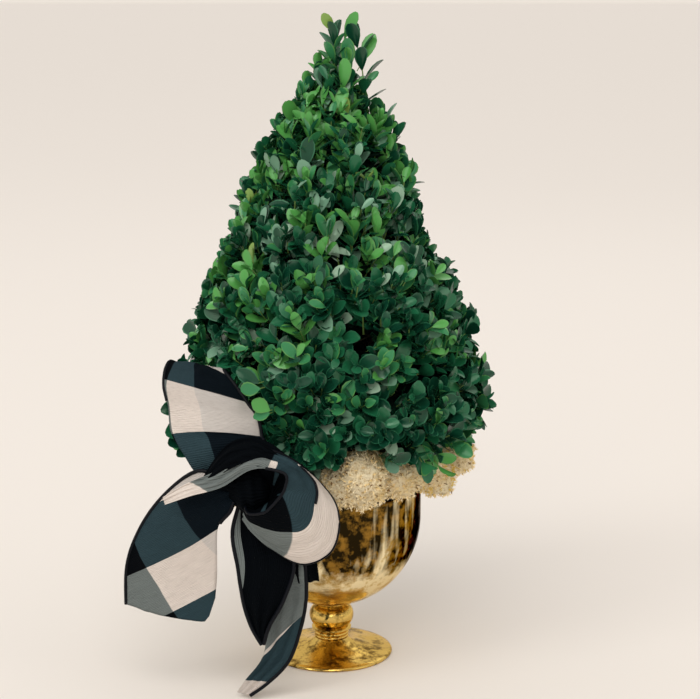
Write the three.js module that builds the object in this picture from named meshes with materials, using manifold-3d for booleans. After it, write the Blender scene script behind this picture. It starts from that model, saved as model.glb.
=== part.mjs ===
// A clipped boxwood cone in a gilt footed goblet, with a collar of reindeer moss and a
// florist's bow of wired ribbon. Millimetres, +Z up. The origin is the centre of the
// goblet's flat underside, and -Y is the side that the bow is dressed for.
//
// A slender trunk stands on the soil in the goblet and runs up the middle of the cone.
// The crown is clipped, so every mass of foliage has a core round the trunk, and short
// leafy sprigs stand out of it: opposite leaves in crossed pairs, as boxwood has them.
// The masses are tiers, parted into sectors, and the topmost is four thin free shoots.
import * as THREE from "three";
import { mergeVertices } from "three/addons/utils/BufferGeometryUtils.js";
import Module from "manifold-3d";

const wasm = await Module();
wasm.setup();

// ---- Driving dimensions ----------------------------------------------------

const GAP = 0.35; // between neighbouring solids
const DEG = Math.PI / 180;
const GOLDEN_ANGLE = 137.508 * DEG;

// Goblet
const GOBLET_SIDES = 32;
const GOBLET_HEIGHT = 144;
const RIM_RADIUS = 73;
const BOWL_WIDEST = 118; // height at which the bowl's round bottom meets its straight side
const BOWL_DEPTH = 75; // from there down to the lowest point of the round bottom
const BOWL_WALL = 3;
const FOOT_RADIUS = 50;
const FOOT_TOP = 13;
const NECK_RADIUS = 13.5;
const KNOP_RADIUS = 18.2;
const BOWL_BASE = 43.6; // height of the bowl's seat on the knop

// Soil and trunk
const SOIL_LEVEL = 135;
const TRUNK_SIDES = 8;
const TRUNK_TOP = 452;
const TRUNK_RADIUS = 8;
const TRUNK_TIP_RADIUS = 1.6;
const ROOT_FLARE = 5.5;
const TRUNK_LEAN = 7; // sideways, at the tip

// Crown: height and outer radius of the clipped outline
const OUTLINE = [
  [165, 92],
  [184, 117],
  [210, 127],
  [250, 121],
  [300, 105],
  [350, 84],
  [400, 62],
  [436, 50],
  [456, 28],
  [490, 20],
  [520, 6],
];
const CROWN_FOOT = 171; // underside of the lowest cores
const CORE_TOP = 449;
const CORE_SIDES = 14;
const ROOT_DEPTH = 3.5; // how far a twig is sunk in its core
const LEAF_SHELL = 22; // depth of leafy sprigs outside a core
const LEAF_LENGTH = 28;
const LEAF_WIDTH = 17;
const LEAF_THICKNESS = 1.1;
const TWIG_SHORTEST = 10;
const TWIG_LONGEST = 26;
const TWIG_RADIUS = 1.25;
const SPRIGS = 96;
const SEED = 11;
const SEAM = 9; // how far a leaf may reach over into the next mass's room

const TIERS = [
  { name: "skirt", bottom: CROWN_FOOT, top: 228, sectors: ["front", "right", "back", "left"] },
  { name: "lower", bottom: 228, top: 288, sectors: ["front", "right", "back", "left"] },
  { name: "middle", bottom: 288, top: 348, sectors: ["front", "right", "left"] },
  { name: "upper", bottom: 348, top: 404, sectors: ["front", "back"] },
  { name: "spire", bottom: 404, top: CORE_TOP, sectors: [""] },
];

// Moss
const MOSS_SECTORS = [
  "front",
  "front_right",
  "right",
  "back_right",
  "back",
  "back_left",
  "left",
  "front_left",
];
const MOSS_RING = 77; // radius of the ring that the clumps sit on
const MOSS_CLUMPS = 15;
const MOSS_CLUMP = 21; // radius of one clump
const MOSS_LEVEL = 158;
const MOSS_TILT = 8; // how far the collar rises on its high side
const MOSS_HIGH_SIDE = THREE.MathUtils.degToRad(-40); // front right

// Bow
const RIBBON_THICKNESS = 1.2;
const KNOT = new THREE.Vector3(-60, -118, 172);
const KNOT_SIZE = new THREE.Vector3(14, 13, 17);
const KNOT_FOLD = new THREE.Vector3(-90, -126, 179); // where the wrap's gathered fold ends, on the left
const KNOT_FOLD_RADII = [10, 4];
const PICK_RADIUS = 1.2;

// ---- Solids ------------------------------------------------------------------

function solidOf(geometry) {
  const bare = geometry.clone();
  bare.deleteAttribute("normal");
  bare.deleteAttribute("uv");
  const merged = mergeVertices(bare, 1e-4);
  const corners = Array.from(merged.index.array);
  const triVerts = [];
  for (let i = 0; i < corners.length; i += 3) {
    const [a, b, c] = corners.slice(i, i + 3);
    if (a !== b && b !== c && c !== a) triVerts.push(a, b, c);
  }
  const vertProperties = merged.attributes.position.array;
  const mesh = new wasm.Mesh({ numProp: 3, vertProperties, triVerts: new Uint32Array(triVerts) });
  return new wasm.Manifold(mesh);
}

function geometryOf(solid) {
  const mesh = solid.getMesh();
  const places = new Float32Array(mesh.numVert * 3);
  for (let i = 0; i < mesh.numVert; i++) {
    places.set(mesh.vertProperties.subarray(i * mesh.numProp, i * mesh.numProp + 3), i * 3);
  }
  const geometry = new THREE.BufferGeometry();
  geometry.setAttribute("position", new THREE.BufferAttribute(places, 3));
  geometry.setIndex(new THREE.BufferAttribute(new Uint32Array(mesh.triVerts), 1));
  geometry.computeVertexNormals();
  return geometry;
}

const placed = (solid, matrix) => solid.transform(matrix.elements);

// Joins solids into one, and drops any scrap that touches nothing.
function joined(solids) {
  const bodies = wasm.Manifold.union(solids).decompose();
  return bodies.reduce((a, b) => (a.volume() > b.volume() ? a : b));
}

function lathe(profile, sides = GOBLET_SIDES) {
  const points = profile.map(([radius, height]) => new THREE.Vector2(radius, height));
  return new THREE.LatheGeometry(points, sides).rotateX(Math.PI / 2);
}

// A tapering limb through a list of { at, radius }, closed by flat ends.
function limb(stations, sides) {
  const places = [];
  const faces = [];
  stations.forEach(({ at, radius }) => {
    for (let i = 0; i < sides; i++) {
      const turn = (i / sides) * 2 * Math.PI;
      places.push(at.x + radius * Math.cos(turn), at.y + radius * Math.sin(turn), at.z);
    }
  });
  for (let ring = 0; ring < stations.length - 1; ring++) {
    for (let i = 0; i < sides; i++) {
      const a = ring * sides + i;
      const b = ring * sides + ((i + 1) % sides);
      faces.push(a, b, b + sides, a, b + sides, a + sides);
    }
  }
  const last = (stations.length - 1) * sides;
  for (let i = 1; i < sides - 1; i++) {
    faces.push(0, i + 1, i, last, last + i, last + i + 1);
  }
  const geometry = new THREE.BufferGeometry();
  geometry.setAttribute("position", new THREE.BufferAttribute(new Float32Array(places), 3));
  geometry.setIndex(faces);
  return geometry;
}

function seeded(seed) {
  let state = seed;
  return () => {
    state = (state + 0x6d2b79f5) | 0;
    let mixed = Math.imul(state ^ (state >>> 15), 1 | state);
    mixed = (mixed + Math.imul(mixed ^ (mixed >>> 7), 61 | mixed)) ^ mixed;
    return ((mixed ^ (mixed >>> 14)) >>> 0) / 4294967296;
  };
}

const between = (random, low, high) => low + (high - low) * random();

// Value at x on the line through a list of [x, value].
function along(table, x) {
  const next = table.findIndex(([place]) => place > x);
  if (next === 0) return table[0][1];
  if (next < 0) return table[table.length - 1][1];
  const [x0, v0] = table[next - 1];
  const [x1, v1] = table[next];
  return v0 + ((v1 - v0) * (x - x0)) / (x1 - x0);
}

// ---- Materials ---------------------------------------------------------------

const finish = (color, roughness, metalness = 0) =>
  new THREE.MeshStandardMaterial({ color, roughness, metalness, flatShading: true });

const gilt = finish(0xc79a3a, 0.22, 0.9);
const soilFinish = finish(0x2f241b, 0.95);
const bark = finish(0x6b5a41, 0.9);
const foliage = finish(0x1f5a30, 0.45);
const mossFinish = finish(0xcdb48a, 0.95);
const ribbonFinish = finish(0x27323a, 0.8);
const pickFinish = finish(0x5a6b4a, 0.6);

function piece(name, geometry, material) {
  const mesh = new THREE.Mesh(geometry, material);
  mesh.name = name;
  return mesh;
}

// ---- Goblet and soil -----------------------------------------------------------

// The round bottom and straight side of the bowl, drawn in by `inset`, from the height
// `from` up to the height `to`.
function bowlSide(inset, from, to, steps = 6) {
  const across = RIM_RADIUS - inset;
  const down = BOWL_DEPTH - inset;
  const start = Math.asin((from - BOWL_WIDEST) / down);
  const points = [];
  for (let i = 0; i <= steps; i++) {
    const turn = start * (1 - i / steps);
    points.push([across * Math.cos(turn), BOWL_WIDEST + down * Math.sin(turn)]);
  }
  points.push([across, to]);
  return points;
}

function makeGoblet() {
  const group = new THREE.Group();

  const footEdge = [[0, 0], [FOOT_RADIUS - 1.5, 0], [FOOT_RADIUS, 1.4], [FOOT_RADIUS - 0.8, 2.8]];
  const footSweep = new THREE.QuadraticBezierCurve(
    new THREE.Vector2(FOOT_RADIUS - 0.8, 2.8),
    new THREE.Vector2(21, 5),
    new THREE.Vector2(NECK_RADIUS, FOOT_TOP),
  );
  const sweep = footSweep.getPoints(5).slice(1).map((p) => [p.x, p.y]);
  const foot = lathe([...footEdge, ...sweep, [0, FOOT_TOP]]);
  group.add(piece("goblet_foot", foot, gilt));

  const knopHeight = BOWL_BASE - FOOT_TOP - 2 * GAP;
  const knop = lathe([
    [0, 0],
    [NECK_RADIUS, 0],
    [NECK_RADIUS + 1.3, 2.4],
    [NECK_RADIUS - 0.2, 4.2],
    [KNOP_RADIUS - 1.2, 9],
    [KNOP_RADIUS - 2, 11.5],
    [KNOP_RADIUS, 18.4],
    [KNOP_RADIUS - 3.2, 24.6],
    [NECK_RADIUS - 1, 27.6],
    [NECK_RADIUS, knopHeight],
    [0, knopHeight],
  ]);
  const knopPiece = piece("goblet_knop", knop, gilt);
  knopPiece.position.z = FOOT_TOP + GAP;
  group.add(knopPiece);

  const outside = bowlSide(0, BOWL_BASE, GOBLET_HEIGHT - 1);
  const inside = bowlSide(BOWL_WALL, BOWL_BASE + BOWL_WALL, GOBLET_HEIGHT - 1, 5).reverse();
  const lip = [[RIM_RADIUS - BOWL_WALL / 2, GOBLET_HEIGHT]];
  const bowl = lathe([[0, BOWL_BASE], ...outside, ...lip, ...inside, [0, BOWL_BASE + BOWL_WALL]]);
  group.add(piece("goblet_bowl", bowl, gilt));

  const inset = BOWL_WALL + GAP;
  const floor = BOWL_BASE + BOWL_WALL + GAP;
  const soilSide = bowlSide(inset, floor, SOIL_LEVEL, 5);
  const soil = lathe([[0, floor], ...soilSide, [0, SOIL_LEVEL]]);
  group.add(piece("soil", soil, soilFinish));
  return group;
}

// ---- Trunk -----------------------------------------------------------------------

// The middle of the trunk at a height: a gentle lean with a slight sway.
function trunkMiddle(height) {
  const share = (height - SOIL_LEVEL) / (TRUNK_TOP - SOIL_LEVEL);
  const sway = 2.2 * Math.sin(share * 5);
  return new THREE.Vector3(TRUNK_LEAN * share * share + sway, -sway * 0.6, height);
}

function trunkSolid(grow = 0) {
  const rings = 11;
  const stations = [];
  for (let i = 0; i <= rings; i++) {
    const share = (i / rings) ** 1.35;
    const height = SOIL_LEVEL + GAP + share * (TRUNK_TOP - SOIL_LEVEL - GAP);
    const flare = ROOT_FLARE * Math.exp(-(height - SOIL_LEVEL) / 9);
    const taper = TRUNK_RADIUS + (TRUNK_TIP_RADIUS - TRUNK_RADIUS) * share;
    stations.push({ at: trunkMiddle(height), radius: taper + flare + grow });
  }
  stations[0].at.z -= grow;
  stations[rings].at.z += grow;
  return solidOf(limb(stations, TRUNK_SIDES));
}

// ---- Moss ------------------------------------------------------------------------

const mossRandom = seeded(SEED + 5);

const mossClumps = [];
for (let i = 0; i < MOSS_CLUMPS; i++) {
  const turn = (i / MOSS_CLUMPS) * 2 * Math.PI;
  const ring = MOSS_RING + between(mossRandom, -3, 5);
  const rise = MOSS_TILT * Math.cos(turn - MOSS_HIGH_SIDE);
  const height = MOSS_LEVEL + rise + between(mossRandom, -3, 3);
  const size = MOSS_CLUMP * between(mossRandom, 0.88, 1.08);
  mossClumps.push({ at: new THREE.Vector3(ring * Math.cos(turn), ring * Math.sin(turn), height), size });
}
// A heap stands higher than the rest in front, and lobes spill out on the right.
mossClumps.push({ at: new THREE.Vector3(24, -88, 176), size: 20 });
mossClumps.push({ at: new THREE.Vector3(8, -82, 166), size: 19 });
mossClumps.push({ at: new THREE.Vector3(99, -4, 169), size: 18 });
mossClumps.push({ at: new THREE.Vector3(84, -29, 157), size: 16 });

// A lump with a rough skin: its corners move in and out by a wave of their own place.
function mossLump({ at, size }, grow) {
  const lump = new THREE.IcosahedronGeometry(1, 1);
  const place = lump.attributes.position;
  const corner = new THREE.Vector3();
  for (let i = 0; i < place.count; i++) {
    corner.fromBufferAttribute(place, i);
    const level = Math.sin(7.1 * corner.x + at.x) * Math.sin(6.3 * corner.y + at.y);
    const wave = level * Math.cos(5.7 * corner.z + at.z);
    corner.multiplyScalar(size * (1 + 0.16 * wave) + grow);
    place.setXYZ(i, at.x + corner.x, at.y + corner.y, at.z + corner.z);
  }
  return solidOf(lump);
}

// The room of one sector of a ring: a tall wedge, drawn in by half a gap at its sides.
function wedge(start, end, reach, low, high) {
  const middle = (start + end) / 2;
  const shift = GAP / 2 / Math.sin((end - start) / 2);
  const outline = new THREE.Shape();
  outline.moveTo(shift * Math.cos(middle), shift * Math.sin(middle));
  for (const turn of [start, middle, end]) {
    const x = shift * Math.cos(middle) + reach * Math.cos(turn);
    const y = shift * Math.sin(middle) + reach * Math.sin(turn);
    outline.lineTo(x, y);
  }
  const prism = new THREE.ExtrudeGeometry(outline, { depth: high - low, bevelEnabled: false });
  return solidOf(prism.translate(0, 0, low));
}

function ringSlab(outer, low, high, sides = 24) {
  return solidOf(lathe([[0, low], [outer, low], [outer, high], [0, high]], sides));
}

// The bowl's own outline, grown by the gap, that the moss rests on and hangs over.
function bowlRoom() {
  const side = bowlSide(-3 * GAP, 100, GOBLET_HEIGHT + GAP, 2);
  return solidOf(lathe([[0, 100], ...side, [0, GOBLET_HEIGHT + GAP]], 20));
}

function soilRoom() {
  const radius = RIM_RADIUS - BOWL_WALL - 2 * GAP;
  return solidOf(lathe([[0, SOIL_LEVEL + GAP], [radius, SOIL_LEVEL + GAP], [radius, 150], [0, 150]], 16));
}

function makeMoss(pick) {
  const lumps = mossClumps.map((clump) => mossLump(clump, 0));
  const rim = bowlRoom().subtract(soilRoom());
  const heart = ringSlab(46, 100, 220);
  const collar = wasm.Manifold.union(lumps).subtract(wasm.Manifold.union([rim, heart, pick]));
  const step = (2 * Math.PI) / MOSS_SECTORS.length;
  return MOSS_SECTORS.map((name, i) => {
    const middle = -Math.PI / 2 + i * step;
    const room = wedge(middle - step / 2, middle + step / 2, 150, 100, 220);
    return { name: `moss_${name}`, solid: joined([collar.intersect(room)]) };
  });
}

// ---- Bow -------------------------------------------------------------------------

// Every ribbon is a list of stations from the knot outwards: the middle of the ribbon,
// half its chord from one edge to the other, and how far its middle bellies out of the
// chord, towards the side that walk x half looks to.
const RIBBONS = {
  loop_left: [
    { at: [-76, -116, 179], half: [10, -2, 6], belly: 0 },
    { at: [-77, -114, 190], half: [21, -6, 11], belly: -3 },
    { at: [-79, -112, 202], half: [30, -8, 8], belly: -6 },
    { at: [-85, -104, 210], half: [35, -12, 1], belly: -9 },
    { at: [-88, -96, 226], half: [35, -16, -1], belly: -9 },
    { at: [-94, -88, 238], half: [33, -18, -3], belly: -8 },
    { at: [-98, -79, 249], half: [28, -19, -3], belly: -5 },
    { at: [-101, -68, 255], half: [21, -16, 0], belly: -2 },
    { at: [-92, -64, 243], half: [20, -16, -1], belly: -1 },
    { at: [-77, -75, 217], half: [19, -17, -1], belly: 0 },
    { at: [-60, -112, 186], half: [7, -3, -2], belly: 0 },
  ],
  loop_right: [
    { at: [-93, -130, 179], half: [-3, 2, 4], belly: 0 },
    { at: [-76, -133, 196], half: [-4, 3, 5], belly: 0 },
    { at: [-55, -134, 206], half: [-2, 6, 6], belly: 2 },
    { at: [-36, -134, 200], half: [3, 10, 2], belly: 3 },
    { at: [-20, -132, 184], half: [11, 16, -7], belly: 4 },
    { at: [-13, -132, 167], half: [19, 18, -14], belly: 5 },
    { at: [-17, -132, 148], half: [22, 18, -23], belly: 5 },
    { at: [-32, -132, 137], half: [17, 16, -26], belly: 4 },
    { at: [-52, -129, 143], half: [7, 10, -16], belly: 2 },
    { at: [-64, -122, 154], half: [-1, 5, -7], belly: 0 },
  ],
  tail_left: [
    { at: [-74, -123, 172], half: [3, -1, -8], belly: 0 },
    { at: [-86, -122, 171], half: [12, -2, -15], belly: 2 },
    { at: [-103, -112, 154], half: [20, -8, -11], belly: 6 },
    { at: [-114, -102, 127], half: [29, -10, -10], belly: 8 },
    { at: [-121, -97, 99], half: [35, -11, -6], belly: 8 },
    { at: [-124, -97, 69], half: [34, -11, -1], belly: 7 },
  ],
  tail_middle: [
    { at: [-59, -113, 157], half: [9, 1, -1], belly: 0 },
    { at: [-53, -113, 133], half: [20, 1, -3], belly: 1 },
    { at: [-48, -117, 110], half: [21, 0, 0], belly: 3 },
    { at: [-50, -118, 84], half: [15, -2, 1], belly: 4 },
    { at: [-52, -117, 65], half: [7, -2, 2], belly: 2 },
    { at: [-51, -116, 51], half: [2, 0, 1], belly: 0 },
  ],
  tail_long: [
    { at: [-51, -112, 162], half: [6, -2, 0], belly: 0 },
    { at: [-37, -104, 126], half: [15, -4, -1], belly: 2 },
    { at: [-34, -101, 97], half: [16, -5, 0], belly: 4 },
    { at: [-35, -99, 72], half: [16, -5, 3], belly: 5 },
    { at: [-37, -99, 48], half: [13, -4, 5], belly: 5 },
    { at: [-43, -101, 30], half: [11, -4, 2], belly: 4 },
    { at: [-56, -103, 15], half: [9, -4, 1], belly: 3 },
    { at: [-67, -103, 4], half: [5, -3, 0], belly: 1 },
  ],
};
const RIBBON_STEPS = 2; // rows of faces from one station to the next
const RIBBON_ACROSS = 4;

function ribbonGrid(stations) {
  const curveParts = (key) => stations.map((s) => new THREE.Vector3(...s[key]));
  const middles = curveParts("at");
  const halves = curveParts("half");
  const rows = (stations.length - 1) * RIBBON_STEPS;
  const smooth = (list, share) => {
    const place = share * (list.length - 1);
    const i = Math.min(Math.floor(place), list.length - 2);
    const t = place - i;
    const pick = (k) => list[Math.max(0, Math.min(list.length - 1, k))];
    const [a, b, c, d] = [pick(i - 1), pick(i), pick(i + 1), pick(i + 2)];
    const blend = (p, q, r, s) =>
      0.5 * (2 * q + (r - p) * t + (2 * p - 5 * q + 4 * r - s) * t * t + (3 * q - p - 3 * r + s) * t ** 3);
    if (typeof b === "number") return blend(a, b, c, d);
    return new THREE.Vector3(blend(a.x, b.x, c.x, d.x), blend(a.y, b.y, c.y, d.y), blend(a.z, b.z, c.z, d.z));
  };
  const bellies = stations.map((s) => s.belly);
  const grid = [];
  for (let row = 0; row <= rows; row++) {
    const share = row / rows;
    const step = 0.5 / rows;
    const middle = smooth(middles, share);
    const half = smooth(halves, share);
    const walk = smooth(middles, Math.min(1, share + step)).sub(smooth(middles, Math.max(0, share - step)));
    const out = walk.clone().cross(half).normalize();
    const belly = smooth(bellies, share);
    const line = [];
    for (let i = 0; i <= RIBBON_ACROSS; i++) {
      const side = (2 * i) / RIBBON_ACROSS - 1;
      line.push(middle.clone().addScaledVector(half, side).addScaledVector(out, belly * (1 - side * side)));
    }
    grid.push(line);
  }
  return grid;
}

// A closed skin of even thickness round a grid of points.
function thickened(grid, thickness) {
  const rows = grid.length;
  const across = grid[0].length;
  const at = (row, i) => grid[Math.max(0, Math.min(rows - 1, row))][Math.max(0, Math.min(across - 1, i))];
  const places = [];
  for (const side of [0.5, -0.5]) {
    for (let row = 0; row < rows; row++) {
      for (let i = 0; i < across; i++) {
        const walk = at(row + 1, i).clone().sub(at(row - 1, i));
        const cross = at(row, i + 1).clone().sub(at(row, i - 1));
        const out = walk.cross(cross).normalize();
        const corner = at(row, i).clone().addScaledVector(out, side * thickness);
        places.push(corner.x, corner.y, corner.z);
      }
    }
  }
  const faces = [];
  const under = rows * across;
  const quad = (a, b, c, d) => faces.push(a, b, c, a, c, d);
  for (let row = 0; row < rows - 1; row++) {
    for (let i = 0; i < across - 1; i++) {
      const a = row * across + i;
      quad(a, a + across, a + across + 1, a + 1);
      quad(under + a, under + a + 1, under + a + across + 1, under + a + across);
    }
    const left = row * across;
    const right = left + across - 1;
    quad(left, under + left, under + left + across, left + across);
    quad(right, right + across, under + right + across, under + right);
  }
  for (let i = 0; i < across - 1; i++) {
    const last = (rows - 1) * across + i;
    quad(i, i + 1, under + i + 1, under + i);
    quad(last, under + last, under + last + 1, last + 1);
  }
  const geometry = new THREE.BufferGeometry();
  geometry.setAttribute("position", new THREE.BufferAttribute(new Float32Array(places), 3));
  geometry.setIndex(faces);
  return geometry;
}

const ribbonSolid = (stations, thickness) => solidOf(thickened(ribbonGrid(stations), thickness));

// The wrapped knot with a gathered fold that leads out of it to the left.
function knotSolid(grow) {
  const ball = new THREE.SphereGeometry(1, 12, 8).rotateX(Math.PI / 2);
  ball.scale(KNOT_SIZE.x + grow, KNOT_SIZE.y + grow, KNOT_SIZE.z + grow);
  const way = KNOT_FOLD.clone().sub(KNOT);
  const [thick, thin] = KNOT_FOLD_RADII;
  const fold = new THREE.CylinderGeometry(thin + grow, thick + grow, way.length() + grow, 8);
  const turn = new THREE.Quaternion().setFromUnitVectors(new THREE.Vector3(0, 1, 0), way.clone().normalize());
  const middle = KNOT.clone().addScaledVector(way, 0.5).addScaledVector(way.clone().normalize(), grow / 2);
  const foldMatrix = new THREE.Matrix4().compose(middle, turn, new THREE.Vector3(1, 1, 1));
  return solidOf(ball.translate(KNOT.x, KNOT.y, KNOT.z)).add(solidOf(fold.applyMatrix4(foldMatrix)));
}

// The wire pick that holds the knot: from just behind it, down into the moss.
function pickSolid(grow) {
  const tip = new THREE.Vector3(-24, -50, 147);
  const head = KNOT.clone().add(new THREE.Vector3(5.5, 12.1, -3));
  const way = head.clone().sub(tip);
  const rod = new THREE.CylinderGeometry(PICK_RADIUS + grow, PICK_RADIUS + grow, way.length() + 2 * grow, 6);
  const turn = new THREE.Quaternion().setFromUnitVectors(new THREE.Vector3(0, 1, 0), way.clone().normalize());
  const middle = tip.clone().add(head).multiplyScalar(0.5);
  return solidOf(rod.applyMatrix4(new THREE.Matrix4().compose(middle, turn, new THREE.Vector3(1, 1, 1))));
}

// ---- Crown -----------------------------------------------------------------------

const outerRadius = (height) => along(OUTLINE, height);
const coreRadius = (height) => Math.max(outerRadius(height) - LEAF_SHELL, 5);

// How steeply sprigs rise at a height: they hang a little at the skirt and stand up
// near the top.
const RISE = [[165, -22], [200, 4], [300, 32], [400, 52], [450, 68]];
const riseAt = (height) => along(RISE, height) * DEG;

// A leaf one unit long, wide and thick: widest past its middle, a ridge over each face.
const LEAF_OUTLINE = [[0, 0], [0.5, 0.58], [0, 1], [-0.5, 0.58]];
const leafUnit = (() => {
  const places = LEAF_OUTLINE.flatMap(([x, y]) => [x, y, 0]);
  const middle = LEAF_OUTLINE.length;
  places.push(0, 0.36, 0.5, 0, 0.36, -0.5);
  const faces = LEAF_OUTLINE.flatMap((_, i) => {
    const next = (i + 1) % LEAF_OUTLINE.length;
    return [i, next, middle, next, i, middle + 1];
  });
  const geometry = new THREE.BufferGeometry();
  geometry.setAttribute("position", new THREE.BufferAttribute(new Float32Array(places), 3));
  geometry.setIndex(faces);
  return solidOf(geometry);
})();
// A twig one unit long and thick at its root, three-sided.
const twigUnit = solidOf(
  limb([{ at: new THREE.Vector3(), radius: 1 }, { at: new THREE.Vector3(0, 0, 1), radius: 0.65 }], 3),
);

// One leaf: root, the way it points, the side its upper face looks to, and its length.
function leafAt(start, way, face, length) {
  const across = way.clone().cross(face).normalize();
  const up = across.clone().cross(way);
  const frame = (grow) => {
    const width = (LEAF_WIDTH * length) / LEAF_LENGTH + 2 * grow;
    const basis = new THREE.Matrix4().makeBasis(across, way, up);
    basis.scale(new THREE.Vector3(width, length + 2 * grow, LEAF_THICKNESS + 2 * grow));
    return basis.setPosition(start.clone().addScaledVector(way, -grow));
  };
  const matrix = frame(0);
  return {
    solid: placed(leafUnit, matrix),
    room: placed(leafUnit, frame(GAP * 2)),
    corners: LEAF_OUTLINE.map(([x, y]) => new THREE.Vector3(x, y, 0).applyMatrix4(matrix)),
    middle: start.clone().addScaledVector(way, length / 2),
    reach: length * 0.62,
  };
}

function twigAt(root, way, length, radius) {
  const turn = new THREE.Quaternion().setFromUnitVectors(new THREE.Vector3(0, 0, 1), way);
  const frame = (grow) =>
    new THREE.Matrix4().compose(root, turn, new THREE.Vector3(radius + grow, radius + grow, length + grow));
  return {
    solid: placed(twigUnit, frame(0)),
    room: placed(twigUnit, frame(GAP * 2)),
    corners: [root.clone(), root.clone().addScaledVector(way, length)],
    middle: root.clone().addScaledVector(way, length / 2),
    reach: length / 2 + radius,
  };
}

// A sprig: a twig with crossed pairs of leaves, the last pair at its tip. Each leaf has
// ways to sit, from the fullest to the most folded, for the first with room to be taken.
function sprigAt(random, root, way, length, pairs = 2) {
  const twig = twigAt(root, way, length, TWIG_RADIUS);
  const leaves = [];
  const side = new THREE.Vector3(0, 0, 1).cross(way);
  if (side.lengthSq() < 0.01) side.set(1, 0, 0);
  side.normalize();
  const turn = between(random, 0, Math.PI);
  for (let pair = 0; pair < pairs; pair++) {
    const share = 1 - (pair * 0.55) / (pairs - 0.9);
    const knee = root.clone().addScaledVector(way, length * share - 0.6);
    const open = (between(random, 34, 48) + pair * 14) * DEG;
    for (const half of [0, Math.PI]) {
      const spin = turn + (pair * Math.PI) / 2 + half + between(random, -0.25, 0.25);
      const away = side.clone().applyAxisAngle(way, spin);
      const leafRoot = knee.clone().addScaledVector(away, 0.2);
      const full = LEAF_LENGTH * between(random, 0.88, 1.08);
      leaves.push(
        [[0, 1], [-14, 0.85], [10, 0.75], [-24, 0.7]].map(([fold, size]) => {
          const bend = open + fold * DEG;
          const leafWay = way.clone().multiplyScalar(Math.cos(bend)).addScaledVector(away, Math.sin(bend));
          return () => leafAt(leafRoot, leafWay, way, full * size);
        }),
      );
    }
  }
  return { twig, leaves };
}

// The height on the core that a point's sprig would grow from, by the rise of sprigs.
function rootHeight(point) {
  const radius = Math.hypot(point.x, point.y);
  return point.z - Math.max(0, radius - coreRadius(point.z)) * Math.tan(riseAt(point.z));
}

function makeMasses() {
  return TIERS.flatMap(({ name, bottom, top, sectors }) =>
    sectors.map((sector, i) => {
      const step = (2 * Math.PI) / sectors.length;
      const middle = -Math.PI / 2 + i * step;
      return {
        name: ["crown", name, sector].filter(Boolean).join("_"),
        bottom,
        top,
        start: middle - step / 2,
        end: middle + step / 2,
        whole: sectors.length === 1,
        pieces: [],
      };
    }),
  );
}

// The core of one mass: the clipped outline drawn in by the leaf shell, one tier high.
function coreOf(mass, trunkRoom, mossRoom) {
  const steps = 2;
  const profile = [];
  for (let i = 0; i <= steps; i++) {
    const height = mass.bottom + GAP / 2 + (i / steps) * (mass.top - mass.bottom - GAP);
    profile.push([coreRadius(height), height]);
  }
  const closed = [[0, profile[0][1]], ...profile, [0, profile[steps][1]]];
  let core = solidOf(lathe(closed, CORE_SIDES));
  if (!mass.whole) core = core.intersect(wedge(mass.start, mass.end, 200, mass.bottom - 5, mass.top + 5));
  core = core.subtract(trunkRoom);
  if (mass.bottom === CROWN_FOOT) core = core.subtract(mossRoom);
  return core.decompose().reduce((a, b) => (a.volume() > b.volume() ? a : b));
}

// Whether a point keeps to a mass's room, give or take the seam.
function inRoom(mass, point) {
  const height = rootHeight(point);
  if (height < mass.bottom - SEAM || height > mass.top + SEAM) return false;
  if (mass.whole) return true;
  const radius = Math.hypot(point.x, point.y);
  const turn = Math.atan2(point.y, point.x);
  const middle = (mass.start + mass.end) / 2;
  const off = Math.abs(Math.atan2(Math.sin(turn - middle), Math.cos(turn - middle)));
  return radius * Math.sin(Math.min(off - (mass.end - mass.start) / 2, Math.PI / 2)) < SEAM;
}

function touches(item, others) {
  return others.some(
    (other) =>
      other.middle.distanceTo(item.middle) < other.reach + item.reach &&
      !item.room.intersect(other.solid).isEmpty(),
  );
}

function crosses(item, others) {
  return others.some(
    (other) =>
      other.middle.distanceTo(item.middle) < other.reach + item.reach &&
      !item.solid.intersect(other.solid).isEmpty(),
  );
}

// The length at which a twig's leaves would just reach the clipped outline.
function twigLength(root, way) {
  const tip = new THREE.Vector3();
  for (let length = TWIG_SHORTEST; length < TWIG_LONGEST; length += 1) {
    tip.copy(root).addScaledVector(way, length + LEAF_LENGTH * 0.7);
    if (Math.hypot(tip.x, tip.y) > outerRadius(tip.z)) return length;
  }
  return TWIG_LONGEST;
}

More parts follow.
